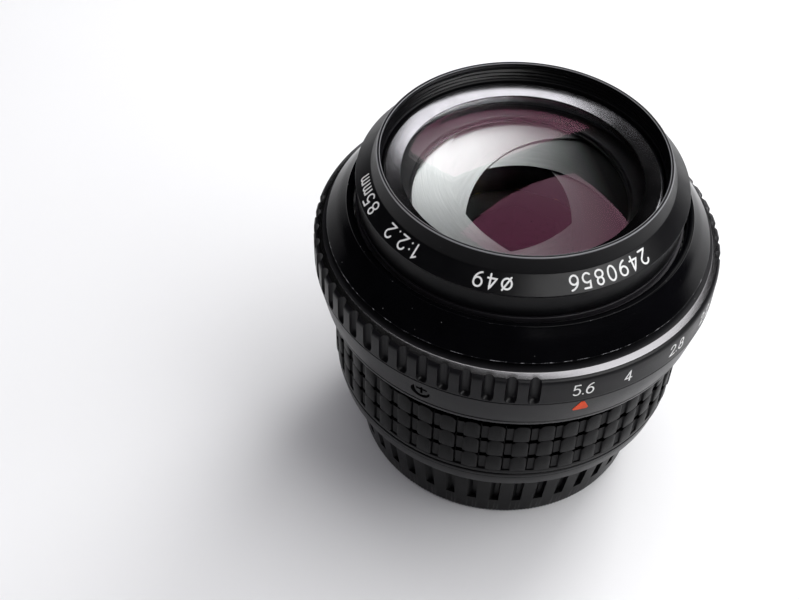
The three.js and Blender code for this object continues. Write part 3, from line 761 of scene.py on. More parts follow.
def iris_leaf(i):
    """A curved strip that sinks along its length, with a hinge pin and a tail pin, turned in
    about its hinge to f/5.6."""
    strip = bmesh.new()
    place = strip.verts.layers.float_vector.new("leaf_place")
    grid = {}
    for column in range(LEAF.columns + 1):
        share = column / LEAF.columns
        angle = LEAF.head + share * (LEAF.tail - LEAF.head)
        for row in range(LEAF.rows + 1):
            across = leaf_reach(share) * (2 * row / LEAF.rows - 1)
            r = (LEAF.inner + LEAF.outer) / 2 + across
            x, y = around(r, math.radians(angle))
            for side in (0, 1):
                z = leaf_top(angle) - LEAF.thick * (1 - side)
                vert = strip.verts.new((x * MM, y * MM, z * MM))
                vert[place] = (r, angle, side)
                grid[column, row, side] = vert

    def face(*corners):
        strip.faces.new([grid[corner] for corner in corners])

    for c in range(LEAF.columns):
        for r in range(LEAF.rows):
            for side in (0, 1):
                face((c, r, side), (c + 1, r, side), (c + 1, r + 1, side), (c, r + 1, side))
        for r in (0, LEAF.rows):
            face((c, r, 0), (c + 1, r, 0), (c + 1, r, 1), (c, r, 1))
    for c in (0, LEAF.columns):
        for r in range(LEAF.rows):
            face((c, r, 0), (c, r + 1, 0), (c, r + 1, 1), (c, r, 1))
    bmesh.ops.recalc_face_normals(strip, faces=strip.faces)

    pin_top = leaf_top(LEAF.pin_angle) - LEAF.thick / 2
    hinge_pin = leaf_pin(LEAF.pivot, 0, leaf_top(0) - LEAF.hinge_root, LEAF.hinge_top)
    tail_pin = leaf_pin(LEAF.pin_radius, LEAF.pin_angle, LEAF.pin_bottom, pin_top)
    absorb(strip, [hinge_pin, tail_pin])
    hinge = Matrix.Translation((LEAF.pivot * MM, 0, 0))
    swing = Matrix.Rotation(math.radians(LEAF.turn), 4, "Z")
    spot = Matrix.Rotation(leaf_bearing(i), 4, "Z")
    strip.transform(spot @ hinge @ swing @ hinge.inverted())
    return object_from(f"iris_leaf_{i + 1}", strip)


for i in range(LEAF.count):
    finish_piece(iris_leaf(i), leaf, f"leaf_{i + 1}", "leaf_steel", f"iris_blade_{i + 1}")


def tube_outline(inner, extent):
    """The outline of a plain tube with the outside and the height of a CAD node."""
    outer, bottom, top = extent.radius, extent.bottom, extent.top
    return plain([(inner, bottom), (outer, bottom), (outer, top), (inner, top)])


iris_plate = turned("iris_plate", tube_outline(LEAF.inner, PLATE))
hinge_holes = [
    upright(
        cylinder(LEAF.hole, 20, PLATE.bottom - OVERCUT, PLATE.top + OVERCUT),
        LEAF.pivot,
        leaf_bearing(i),
    )
    for i in range(LEAF.count)
]
drill(iris_plate, hinge_holes)
finish_piece(iris_plate, chamber, "lens_head", "matt_black", "iris_front_plate")


# ---- Shoulder ----

SHOULDER_LIP = 33.3  # radius below the shoulder's sharp lower edge
SHOULDER_TOP_RADIUS = 30.1
shoulder = turned(
    "shoulder_cone",
    [
        Corner(SHOULDER_BORE, SHOULDER.bottom, 0.1),
        Corner(SHOULDER_LIP, SHOULDER.bottom, 0.1),
        Corner(SHOULDER_LIP, SHOULDER.bottom + 0.6, 0.1),
        Corner(SHOULDER.radius, SHOULDER.bottom + 0.9, 0.1, wear=0.68),
        Corner(SHOULDER.radius - 0.16, SHOULDER.bottom + 1.12, 0),  # the wear ends here
        Corner(SHOULDER.radius - 2.1, SHOULDER.bottom + 3.82, 0.8),
        Corner(SHOULDER_TOP_RADIUS + 0.12, SHOULDER.top - 0.22, 0.05, wear=0.3),
        Corner(SHOULDER_TOP_RADIUS, SHOULDER.top, 0.14, wear=0.55),
        Corner(SHOULDER_BORE + 0.5, SHOULDER.top, 0.1, wear=0.3),
        Corner(SHOULDER_BORE + 0.4, SHOULDER.top - 0.4, 0.05),
        Corner(SHOULDER_BORE, SHOULDER.top - 0.45, 0.05),
    ],
)
finish_piece(shoulder, gloss, "lens_head", "gloss_black", "shoulder_ring")


# ---- Aperture ring ----

FLUTE = Sizes(starts=(-115.8, 64.2), pitch=6.0, run=18, radius=1.0, bottom=44.5)
CHAMFER_TOP = 34.44
CHAMFER_FOOT = (35.31, RING.top - 0.55)
EDGE = [  # outer edge of the ring, from its side over the shoulder and chamfer to its top
    (RING.radius, RING.top - 1.55),
    (RING.radius - 0.05, RING.top - 1.2),
    (RING.radius - 0.2, RING.top - 0.9),
    (RING.radius - 0.42, RING.top - 0.68),
    CHAMFER_FOOT,
    (CHAMFER_TOP + 0.06, RING.top - 0.02),
]
NOSE_STEPS = 6
CUT_STEPS = 12  # columns across one flute
PLAIN_STEP = 1.5  # degrees between columns where there is no flute


def edge_height(r):
    """Height at which the ring's outer edge has come in to a radius."""
    for (r0, z0), (r1, z1) in zip(EDGE, EDGE[1:]):
        if r1 <= r <= r0 and r0 > r1:
            return z0 + (z1 - z0) * (r0 - r) / (r0 - r1)
    return EDGE[0][1]


def ring_outline(offset):
    """The ring's outline where a flute's axis is offset millimetres away along the side, or
    with no flute if offset is None."""
    reach = 0.0 if offset is None else FLUTE.radius ** 2 - offset**2
    wall = RING.radius - math.sqrt(max(0.0, reach))
    nose_top = FLUTE.bottom + FLUTE.radius
    points = [
        Corner(RING_BORE, RING.bottom),
        Corner(RING.radius - 0.12, RING.bottom, wear=0.01),
        Corner(RING.radius - 0.02, RING.bottom + 0.1),
    ]
    for step in range(NOSE_STEPS + 1):
        z = FLUTE.bottom + FLUTE.radius * step / NOSE_STEPS
        r = RING.radius - math.sqrt(max(0.0, reach - (nose_top - z) ** 2))
        points.append(Corner(r, z))
    top_of_wall = edge_height(wall)
    points.append(Corner(wall, 0.5 * (nose_top + top_of_wall)))
    for r, z in EDGE:
        if r > wall:
            points.append(Corner(wall, top_of_wall))
        else:
            points.append(Corner(r, z, bare_metal_or_shade=float(r <= CHAMFER_FOOT[0])))
    if wall < CHAMFER_FOOT[0]:
        # The chamfer starts higher here, where the flute runs out into it.
        last = max(i for i, p in enumerate(points) if p.r == wall and p.z == top_of_wall)
        points[last].bare_metal_or_shade = 1.0
    points.append(Corner(CHAMFER_TOP - 0.05, RING.top, wear=0.02))
    points.append(Corner(RING_BORE, RING.top))
    return points


def ring_columns():
    """Bearings and outlines round the aperture ring, closer together in the flutes."""
    columns = []
    half = math.degrees(FLUTE.radius / RING.radius)
    for start in FLUTE.starts:
        for i in range(FLUTE.run):
            centre = start + i * FLUTE.pitch
            for k in range(CUT_STEPS + 1):
                x = FLUTE.radius * math.sin(math.pi * (k / CUT_STEPS - 0.5))
                columns.append((centre + math.degrees(x / RING.radius), ring_outline(x)))
            last = i == FLUTE.run - 1
            to_next = 180 - (FLUTE.run - 1) * FLUTE.pitch if last else FLUTE.pitch
            land = to_next - 2 * half
            steps = max(2, round(land / PLAIN_STEP))
            for k in range(1, steps):
                columns.append((centre + half + land * k / steps, ring_outline(None)))
    return columns


columns = ring_columns()
control_ring = swept(
    "aperture_control_ring",
    [from_index(angle) for angle, _ in columns],
    [outline for _, outline in columns],
    smooth_below=28,
)
finish_piece(control_ring, ring_black, "aperture_control", "ring_grey_black", "aperture_ring")


# ---- Lettering: numbers only ----


def arc(cx, cy, rx, ry, start, end, steps=14):
    angles = [math.radians(start + (end - start) * k / steps) for k in range(steps + 1)]
    return [(cx + rx * math.cos(a), cy + ry * math.sin(a)) for a in angles]


PEN = 0.13  # width of a stroke, as a share of the height
ROUND_END_STEPS = 5
PAINT_LIFT = 0.02  # how far paint stands proud of its surface
PAINT_ROOT = 0.05  # and how far it reaches into it

# Each sign is a list of pen strokes in a box one unit high, and its width.
SIGNS = {
    "0": ([arc(0.3, 0.5, 0.28, 0.5, 0, 360, 24)], 0.6),
    "1": ([[(0.06, 0.8), (0.3, 1.0), (0.3, 0.0)]], 0.36),
    "2": ([arc(0.3, 0.7, 0.28, 0.3, 170, -32) + [(0.03, 0.0), (0.6, 0.0)]], 0.6),
    "4": ([[(0.44, 0.0), (0.44, 1.0), (0.02, 0.28), (0.62, 0.28)]], 0.62),
    "5": ([[(0.54, 1.0), (0.12, 1.0), (0.08, 0.57)] + arc(0.29, 0.32, 0.29, 0.32, 125, -140)],
          0.58),
    "6": ([arc(0.3, 0.31, 0.28, 0.31, 0, 360, 20), arc(0.6, 0.34, 0.58, 0.66, 182, 100)], 0.6),
    "8": ([arc(0.3, 0.75, 0.22, 0.25, 0, 360, 20), arc(0.3, 0.26, 0.28, 0.26, 0, 360, 20)], 0.6),
    "9": ([arc(0.3, 0.69, 0.28, 0.31, 0, 360, 20), arc(0.0, 0.66, 0.58, 0.66, 2, -80)], 0.6),
    ".": ([[(0.06, 0.03), (0.06, 0.05)]], 0.12),
    ":": ([[(0.06, 0.12), (0.06, 0.14)], [(0.06, 0.6), (0.06, 0.62)]], 0.12),
    "m": ([[(0.0, 0.0), (0.0, 0.68)], arc(0.17, 0.48, 0.17, 0.2, 180, 0, 8) + [(0.34, 0.0)],
           arc(0.51, 0.48, 0.17, 0.2, 180, 0, 8) + [(0.68, 0.0)]], 0.68),
    "o": ([arc(0.35, 0.5, 0.33, 0.36, 0, 360, 24), [(0.08, 0.06), (0.62, 0.94)]], 0.7),
}


def finely(points):
    """The points of a stroke, with more of them along its straight parts."""
    out = [points[0]]
    for (x0, y0), (x1, y1) in zip(points, points[1:]):
        steps = max(1, round(math.dist((x0, y0), (x1, y1)) / 0.15))
        out += [
            (x0 + (x1 - x0) * k / steps, y0 + (y1 - y0) * k / steps) for k in range(1, steps + 1)
        ]
    return out


def stroke_shape(points, pen):
    """A ribbon with round ends along a pen stroke, as rings of left and right points."""
    path = [Vector(p) for p in points]
    closed = (path[0] - path[-1]).length < 1e-4
    if closed:
        path = path[:-1]
    count = len(path)
    left, right = [], []
    for i, here in enumerate(path):
        before = path[i - 1] if closed or i else here
        after = path[(i + 1) % count] if closed or i < count - 1 else here
        into, out = here - before, after - here
        into = into.normalized() if into.length else out.normalized()
        out = out.normalized() if out.length else into
        tangent = (into + out).normalized()
        side = Vector((-tangent.y, tangent.x))
        stretch = min(1.6, 1 / max(0.3, side.dot(Vector((-out.y, out.x)))))
        left.append(here + side * pen / 2 * stretch)
        right.append(here - side * pen / 2 * stretch)
    return left, right, closed


def stroke_faces(bm, points, pen, put):
    """Draws one stroke's ribbon and its round ends; put makes a point of the surface."""
    left, right, closed = stroke_shape(points, pen)
    lefts, rights = [put(p) for p in left], [put(p) for p in right]
    for k in range(len(lefts) if closed else len(lefts) - 1):
        m = (k + 1) % len(lefts)
        bm.faces.new([rights[k], rights[m], lefts[m], lefts[k]])
    if closed:
        return
    for end, other in ((0, 1), (-1, -2)):
        middle = (left[end] + right[end]) / 2
        outward = middle - (left[other] + right[other]) / 2
        begin = left[end] - middle if end == 0 else right[end] - middle
        first, last = (lefts, rights) if end == 0 else (rights, lefts)
        rim = []
        for k in range(1, ROUND_END_STEPS):
            turn = math.pi * k / ROUND_END_STEPS
            swung = Matrix.Rotation(turn, 2) @ begin
            if swung.dot(outward) < 0:
                swung = Matrix.Rotation(-turn, 2) @ begin
            rim.append(put(middle + swung))
        bm.faces.new([last[end], *reversed(rim), first[end]])


def lettering(name, words, height, place, spacing, narrow=1.0, pen=PEN):
    """Raised paint in the shape of signs. words are (bearing of the middle, text), and place
    maps (bearing, distance along the line, distance up) to a point of the surface."""
    bm = bmesh.new()
    under = {}
    for bearing, text in words:
        width = sum(SIGNS[c][1] * narrow for c in text) + spacing * (len(text) - 1)
        x = -width / 2

        def put(p):
            spot = (bearing, (x + p[0]) * height, p[1] * height)
            vert = bm.verts.new(place(*spot, PAINT_LIFT))
            under[tuple(vert.co)] = place(*spot, -PAINT_ROOT)
            return vert

        for sign in text:
            strokes, advance = SIGNS[sign]
            for stroke in strokes:
                stroke_faces(bm, [(px * narrow, py) for px, py in finely(stroke)], pen, put)
            x += advance * narrow + spacing
    return object_from(name, thickened(bm, under))


def thickened(bm, under):
    """Closes flat faces into bodies: under gives the lower point for each upper one."""
    lowered = bmesh.ops.extrude_face_region(bm, geom=bm.faces[:], use_keep_orig=True)
    for vert in lowered["geom"]:
        if isinstance(vert, bmesh.types.BMVert):
            vert.co = under[tuple(vert.co)]
    bmesh.ops.recalc_face_normals(bm, faces=bm.faces)
    return bm


def surface_point(r, angle, z):
    x, y = around(r, angle)
    return (x * MM, y * MM, z * MM)


def on_cylinder(radius, base_height):
    def place(bearing, along, up, lift):
        return surface_point(radius + lift, from_index(bearing) + along / radius, base_height + up)

    return place


STOPS = ((-0.9, "5.6"), (12.1, "4"), (29.6, "2.8"), (44.6, "2.2"))
STOP_HEIGHT = 2.45
STOP_FOOT = RING.bottom + 1.55
stop_numbers = lettering(
    "aperture_numbers",
    STOPS,
    STOP_HEIGHT,
    on_cylinder(RING.radius, STOP_FOOT),
    spacing=0.17,
    narrow=0.85,
    pen=0.11,
)
finish_piece(stop_numbers, white_paint, "aperture_control", "ring_grey_black")

BEVEL_MIDDLE = (Vector(BEVEL_FOOT) + Vector(BEVEL_TOP)) / 2
BEVEL_OUTWARD = (Vector(BEVEL_FOOT) - Vector(BEVEL_TOP)).normalized()
BEVEL_NORMAL = Vector((-BEVEL_OUTWARD.y, BEVEL_OUTWARD.x))
BEVEL_SIGN = 2.35


def on_bevel(bearing, along, up, lift):
    """The top of a sign points outwards, and a line of them runs clockwise."""
    spot = BEVEL_MIDDLE + BEVEL_OUTWARD * (up - BEVEL_SIGN / 2) + BEVEL_NORMAL * lift
    return surface_point(spot.x, from_index(bearing) - along / BEVEL_MIDDLE.x, spot.y)


front_numbers = lettering(
    "front_numbers",
    ((-91.0, "85mm"), (-64.6, "1:2.2"), (-29.0, "o49"), (12.0, "2490856")),
    BEVEL_SIGN,
    on_bevel,
    spacing=0.34,
)
finish_piece(front_numbers, white_paint, "lens_head", "black_anodised")


# ---- Index band, its screws and the index ----

BAND_FOOT = 34.4
BAND_LIP = BAND.top + 0.2  # the outer edge closes the gap under the aperture ring
GROOVE = BAND.bottom + 1.0  # a fine line turned round the band's foot
INDEX_SCREW = Sizes(
    first=-44.5,  # bearing of the one in front
    count=3,
    z=41.0,
    seat=33.8,  # where the head rests in the band
    head=1.5,
    thick=1.0,
    shank=0.8,
    tip=28.6,
    hole=1.1,
    driver=(2.1, 0.42),  # reach and width of the cross slot
    driver_depth=0.55,
)
CLICK_POCKET = Sizes(distance=32.3, radius=1.0, seat=40.2)


def band_radius(z):
    """Radius of the band's tapering side at a height."""
    share = (z - BAND.bottom) / (BAND.top - BAND.bottom)
    return BAND_FOOT + (RING.radius - BAND_FOOT) * share


index_band = turned(
    "index_collar",
    [
        Corner(RING_BORE, BAND.bottom, 0.1),
        Corner(BAND_FOOT - 0.25, BAND.bottom, 0.1),
        Corner(BAND_FOOT, BAND.bottom + 0.2, 0.1, wear=0.05),
        Corner(band_radius(GROOVE), GROOVE, 0.05),
        Corner(band_radius(GROOVE) - 0.12, GROOVE + 0.08, 0.03),
        Corner(band_radius(GROOVE) - 0.1, GROOVE + 0.26, 0.03),
        Corner(band_radius(GROOVE + 0.35), GROOVE + 0.35, 0.05),
        Corner(RING.radius - 0.03, BAND_LIP - 0.08, 0.03),
        Corner(RING.radius - 0.1, BAND_LIP, 0.03),
        Corner(RING.radius - 0.9, BAND_LIP, 0.03),
        Corner(RING.radius - 1.0, BAND.top, 0.03),
        Corner(RING_BORE, BAND.top, 0.1),
    ],
)


def screw_bearing(i):
    return from_index(INDEX_SCREW.first + 360 / INDEX_SCREW.count * i)


def screw_holes(radius, sides, near, far):
    """Cutters for a hole at each index screw, between two distances from the axis."""
    return [
        radial(cylinder(radius, sides, near, far), INDEX_SCREW.z, screw_bearing(i))
        for i in range(INDEX_SCREW.count)
    ]


recess = INDEX_SCREW.head + CLEARANCE
drill(index_band, screw_holes(recess, 40, INDEX_SCREW.seat - CLEARANCE, RING.radius + 2))
drill(index_band, screw_holes(INDEX_SCREW.hole, 40, RING_BORE - OVERCUT, INDEX_SCREW.seat))
pocket = cylinder(CLICK_POCKET.radius, 24, CLICK_POCKET.seat, BAND.top + OVERCUT)
drill(index_band, [upright(pocket, CLICK_POCKET.distance, from_index(180))])
finish_piece(index_band, ring_black, "lens_head", "ring_grey_black", "index_band")


def index_screw(i):
    """A cheese-head screw with a cross slot, lying along a radius."""
    top = INDEX_SCREW.seat + INDEX_SCREW.thick
    bm = cylinder(INDEX_SCREW.head, 40, INDEX_SCREW.seat, top, 0.14)
    absorb(bm, [cylinder(INDEX_SCREW.shank, 20, INDEX_SCREW.tip, INDEX_SCREW.seat + 0.02)])
    screw = object_from(f"collar_screw_{i + 1}", radial(bm, INDEX_SCREW.z, screw_bearing(i)))
    outline = cross_points(*INDEX_SCREW.driver)
    cross = bevelled_prism(outline, top - INDEX_SCREW.driver_depth, top + OVERCUT)
    return drill(screw, [radial(cross, INDEX_SCREW.z, screw_bearing(i))])


for i in range(INDEX_SCREW.count):
    node = f"index_screw_{i + 1}"
    finish_piece(index_screw(i), screw_black, "lens_head", "black_screw", node)

INDEX_MARK = Sizes(bearing=-0.4, bottom=40.9, height=3.0, width=2.7, rounding=0.42)


def index_mark():
    """A painted triangle with rounded corners that points at the numbers."""
    w, h, r = INDEX_MARK.width / 2, INDEX_MARK.height, INDEX_MARK.rounding
    middles = [(-w + r, r), (w - r, r), (0, h - 1.4 * r)]
    sweeps = [(150, 270), (270, 390), (30, 150)]
    rim = [
        (mx + dx, my + dy)
        for (mx, my), (start, end) in zip(middles, sweeps)
        for dx, dy in (around(r, math.radians(a)) for a in range(start, end + 1, 20))
    ]
    bm = bmesh.new()
    under = {}

    def put(x, y):
        z = INDEX_MARK.bottom + y
        angle = from_index(INDEX_MARK.bearing) + x / band_radius(z)
        vert = bm.verts.new(surface_point(band_radius(z) + PAINT_LIFT, angle, z))
        under[tuple(vert.co)] = surface_point(band_radius(z) - PAINT_ROOT, angle, z)
        return vert

    centre = put(0, h * 0.36)
    ring = [put(x, y) for x, y in rim]
    for k, vert in enumerate(ring):
        bm.faces.new([centre, vert, ring[(k + 1) % len(ring)]])
    return object_from("aperture_index", thickened(bm, under))


finish_piece(index_mark(), orange_paint, "lens_head", "ring_grey_black")


# ---- Sliding tube ----

COLLAR_FOOT = 36.6
HELICOID = Sizes(pitch=1.0, first=0.3, top=36.0, land=0.35, slope=0.15, depth=0.28)
KEYWAY = Sizes(at=(0, 180), width=4.6, outer=27.4, top=35.5)
DRIVE = Sizes(z=46.8, bearing=150, swing=46, slack=3, half_height=1.2)


def head_outline():
    """The tube's outline, with the helicoid's thread as fine turned grooves."""
    corners = [Corner(HEAD_BORE, HEAD.bottom, 0.1), Corner(HEAD_WALL - 0.2, HEAD.bottom, 0.05)]
    z = HEAD.bottom + HELICOID.first
    while z < HELICOID.top:
        root, down = HEAD_WALL - HELICOID.depth, z + HELICOID.land + HELICOID.slope
        land = [(HEAD_WALL, z), (HEAD_WALL, z + HELICOID.land)]
        corners += plain(land + [(root, down), (root, down + HELICOID.land)], 0.03)
        z += HELICOID.pitch
    collar = [(HEAD.radius, COLLAR_FOOT), (HEAD.radius, HEAD.top), (HEAD_BORE, HEAD.top)]
    return corners + [Corner(HEAD_WALL - 0.1, COLLAR_FOOT, 0.05)] + plain(collar, 0.1)


head_tube = turned("sliding_tube", head_outline(), 128)
inside, outside = HEAD_BORE - OVERCUT, HEAD.radius + OVERCUT


def key_cutter(bearing):
    box = box_points(KEYWAY.outer - inside, KEYWAY.width)
    bm = bevelled_prism(box, HEAD.bottom - OVERCUT, KEYWAY.top)
    return upright(bm, (KEYWAY.outer + inside) / 2, bearing)


def drive_slot(steps=16):
    """The curved window that the drive pin swings in."""
    start = from_index(DRIVE.bearing - DRIVE.swing - DRIVE.slack)
    end = from_index(DRIVE.bearing + DRIVE.slack)
    angles = [start + (end - start) * k / steps for k in range(steps + 1)]
    outline = [around(outside, a) for a in angles]
    outline += [around(inside, a) for a in reversed(angles)]
    return bevelled_prism(outline, DRIVE.z - DRIVE.half_height, DRIVE.z + DRIVE.half_height)


keyways = [key_cutter(math.radians(at)) for at in KEYWAY.at]
threaded_holes = screw_holes(INDEX_SCREW.hole, 20, inside, outside)
drill(head_tube, [*keyways, *threaded_holes, drive_slot()])
finish_piece(head_tube, aluminium, "lens_head", "bare_aluminium", "head_tube")


# ---- Focus ring ----

GRIP_COLUMNS = 47
GRIP_ROWS = 3
BLOCK_END = -4.1  # bearing of the right-hand side of one block
BLOCK_SHARE = 0.67
GRIP_FLOOR = GRIP.radius - 0.5
GRIP_SLIT = GRIP.radius - 1.0
ROW_HEIGHT = (GRIP.top - GRIP.bottom) / GRIP_ROWS
ARCH = 1.0  # how much lower a block is at its sides than in its middle

# Across one pitch: place in the pitch, how far a block's crown stands below the grip's
# outside (None beside a block), and the radius of the floor there.
GRIP_PROFILE = [
    (0.000, None, GRIP_FLOOR),
    (0.012, 0.13, None),
    (0.05, 0.05, None),
    (0.14, 0.02, None),
    (0.24, 0.0, None),
    (0.335, 0.0, None),
    (0.43, 0.0, None),
    (0.53, 0.02, None),
    (0.61, 0.06, None),
    (0.655, 0.14, None),
    (0.67, None, GRIP_SLIT),
    (0.705, None, GRIP_SLIT),
    (0.725, None, GRIP_FLOOR + 0.05),
    (0.85, None, GRIP_FLOOR + 0.03),
    (0.985, None, GRIP_FLOOR),
]


def grip_outline(share, crown, floor):
    """Outline of the rubber at one place in the pitch: three rows, each with an arched top."""
    inner = SLEEVE_WALL + CLEARANCE
    # The groove floors and the top edges of the blocks are painted lighter as a painted highlight,
    # and the slits and the recesses under the arches are painted near black as painted shade.
    points = [Corner(inner, GRIP.bottom)]
    for row in range(GRIP_ROWS):
        foot = GRIP.bottom + row * ROW_HEIGHT
        full = foot + ROW_HEIGHT
        if crown is None:
            low = full - ARCH
            points += [
                Corner(floor, foot),
                Corner(floor, foot + 0.5, wear=0.7),
                Corner(floor, low - 0.4, wear=0.7),
                Corner(floor, low - 0.02, bare_metal_or_shade=1.0),
                Corner(GRIP_SLIT, low, bare_metal_or_shade=1.0),
                Corner(GRIP_SLIT, full - 0.02, bare_metal_or_shade=1.0),
            ]
            continue
        from_middle = abs(share - BLOCK_SHARE / 2) / (BLOCK_SHARE / 2)
        low = full - 0.03 - (ARCH - 0.03) * from_middle**3.6
        face = GRIP.radius - crown
        points += [
            Corner(face - 0.06, foot),
            Corner(face - 0.02, foot + 0.1, wear=0.15),
            Corner(face, low - 0.14),
            Corner(face - 0.06, low - 0.02, wear=0.3, bare_metal_or_shade=1.0),
            Corner(GRIP_SLIT, low, bare_metal_or_shade=1.0),
            Corner(GRIP_SLIT, full - 0.02, bare_metal_or_shade=1.0),
        ]
    points.append(Corner(inner, GRIP.top))
    return points


grip_bearings, grip_outlines = [], []
grip_pitch = 360 / GRIP_COLUMNS
for column in range(GRIP_COLUMNS):
    first = BLOCK_END - BLOCK_SHARE * grip_pitch + column * grip_pitch
    for share, crown, floor in GRIP_PROFILE:
        grip_bearings.append(from_index(first + share * grip_pitch))
        grip_outlines.append(grip_outline(share, crown, floor))
grip = swept("focus_grip", grip_bearings, grip_outlines, smooth_below=38)
finish_piece(grip, rubber, "focus_ring", "grip_rubber", "rubber_grip")

sleeve = turned(
    "focus_ring_body",
    [
        Corner(SLEEVE_BORE, SLEEVE.bottom, 0.1),
        Corner(SLEEVE.radius - 0.1, SLEEVE.bottom, 0.06),
        Corner(SLEEVE.radius, SLEEVE.bottom + 0.12, 0.06),
        Corner(SLEEVE.radius, GRIP.bottom - CLEARANCE - 0.1, 0.06),
        Corner(SLEEVE.radius - 0.1, GRIP.bottom - CLEARANCE, 0.05),
        Corner(SLEEVE_WALL, GRIP.bottom - CLEARANCE, 0.05),
        Corner(SLEEVE_WALL, SLEEVE.top - 0.3, 0.1),
        Corner(SLEEVE_WALL - 0.3, SLEEVE.top, 0.1),
        Corner(SLEEVE_BORE, SLEEVE.top, 0.1),
    ],
)
finish_piece(sleeve, anodised, "focus_ring", "black_anodised", "focus_sleeve")


# ---- Fixed rear part ----

HOUSING_FOOT = (31.6, 15.8)
base_ring = turned(
    "fixed_base_ring",
    [
        Corner(HOUSING_BORE, HOUSING.bottom, 0.1),
        Corner(HOUSING_FOOT[0] - 0.35, HOUSING.bottom, 0.1),
        Corner(*HOUSING_FOOT, 0.1, wear=0.03),
        Corner(HOUSING_FOOT[0] + 0.5, HOUSING.top - 1.1, 0.05),
        Corner(HOUSING_FOOT[0] + 0.42, HOUSING.top - 1.02, 0.03),
        Corner(HOUSING_FOOT[0] + 0.6, HOUSING.top - 0.85, 0.05),
        Corner(HOUSING.radius - 0.03, HOUSING.top - 0.15, 0.05),
        Corner(HOUSING.radius - 0.15, HOUSING.top, 0.05),
        Corner(HOUSING_BORE, HOUSING.top, 0.1),
    ],
)
finish_piece(base_ring, anodised, "barrel", "black_anodised", "mount_housing")

BAYONET = Sizes(bore=22.6, tube=24.0, flange=13.9)
LUG = Sizes(count=3, span=52, first=0, root=23.9, outer=24.9, top=10.1)
CAP_LUG = Sizes(count=3, span=40, first=60, root=24.4, outer=26.0, bottom=10.5, top=11.9)
FLANGE_SCREW = Sizes(
    count=5,
    circle=27.0,
    first=36,
    hole=1.6,
    head=1.3,
    inset=0.1,  # how far a head lies below the flange
    driver=(1.8, 0.4),
    driver_depth=0.55,
)

mount = turned(
    "bayonet_ring",
    plain(
        [
            (BAYONET.bore, MOUNT.bottom),
            (BAYONET.tube, MOUNT.bottom),
            (BAYONET.tube, BAYONET.flange),
            (MOUNT.radius, BAYONET.flange),
            (MOUNT.radius, MOUNT.top),
            (BAYONET.bore, MOUNT.top),
        ],
        0.12,
    ),
)


def flange_spot(bm, i):
    """Moves a bmesh to the place of a flange screw."""
    bearing = math.radians(FLANGE_SCREW.first + 360 / FLANGE_SCREW.count * i)
    return upright(bm, FLANGE_SCREW.circle, bearing)


flange_holes = [
    flange_spot(
        cylinder(FLANGE_SCREW.hole, 32, BAYONET.flange - OVERCUT, MOUNT.top + OVERCUT), i
    )
    for i in range(FLANGE_SCREW.count)
]
drill(mount, flange_holes)
finish_piece(mount, steel, "barrel", "mount_steel", "bayonet_mount")


def lugs(name, sizes, bottom, steps):
    """The lugs of a bayonet: short curved bars, evenly spaced."""
    outline = [(sizes.root, bottom), (sizes.outer, bottom)]
    outline += [(sizes.outer, sizes.top), (sizes.root, sizes.top)]
    corners = rounded(plain(outline, 0.12))
    for i in range(sizes.count):
        start = sizes.first + 360 / sizes.count * i - sizes.span / 2
        angles = [math.radians(start + sizes.span * k / steps) for k in range(steps + 1)]
        yield swept(f"{name}_{i + 1}", angles, [corners] * len(angles), closed=False)


for lug in lugs("bayonet_lug", LUG, MOUNT.bottom + 0.02, 24):
    finish_piece(lug, steel, "barrel", "mount_steel")

for i in range(FLANGE_SCREW.count):
    foot, top = BAYONET.flange + FLANGE_SCREW.inset, MOUNT.top - FLANGE_SCREW.inset
    bm = flange_spot(cylinder(FLANGE_SCREW.head, 32, foot, top, 0.1), i)
    flange_screw = object_from(f"mount_screw_{i + 1}", bm)
    slot_top = BAYONET.flange + FLANGE_SCREW.driver_depth
    cross = bevelled_prism(cross_points(*FLANGE_SCREW.driver), slot_top - 2, slot_top)
    drill(flange_screw, [flange_spot(cross, i)])
    finish_piece(flange_screw, steel, "barrel", "mount_steel", f"flange_screw_{i + 1}")

BAFFLE_WALL = 22.3
BAFFLE_SEAT = 16.7
# The inside of the baffle, down from its top, with two steps that catch stray light.
STEPS = [(21.0, BAFFLE.top), (20.6, 15.0), (20.9, 14.6), (20.3, 13.0), (20.6, 12.6), (19.9, 11.0)]
baffle = turned(
    "throat_baffle",
    plain(
        [
            (19.6, BAFFLE.bottom + 1),
            (BAFFLE_WALL, BAFFLE.bottom),
            (BAFFLE_WALL, BAFFLE_SEAT),
            (BAFFLE.radius, BAFFLE_SEAT),
            (BAFFLE.radius, BAFFLE.top),
            *STEPS,
        ]
    ),
)
finish_piece(baffle, matt, "barrel", "matt_black", "rear_baffle")


# ---- Rear cap ----

CAP_FOOT = 27.05
CAP_BORE = 26.0
CAP_FLOOR = 1.8
CAP_GROOVE = Sizes(inner=20.0, outer=21.15, slope=0.15, depth=0.25)  # under the cap
SLOT = Sizes(count=42, right=7.5, width=3.6, bottom=5.0, deep=0.85)
TOOTH = Sizes(per_slot=6, depth=0.24, top=0.9)


def cap_radius(z):
    return CAP_FOOT + (CAP.radius - CAP_FOOT) * z / CAP.top


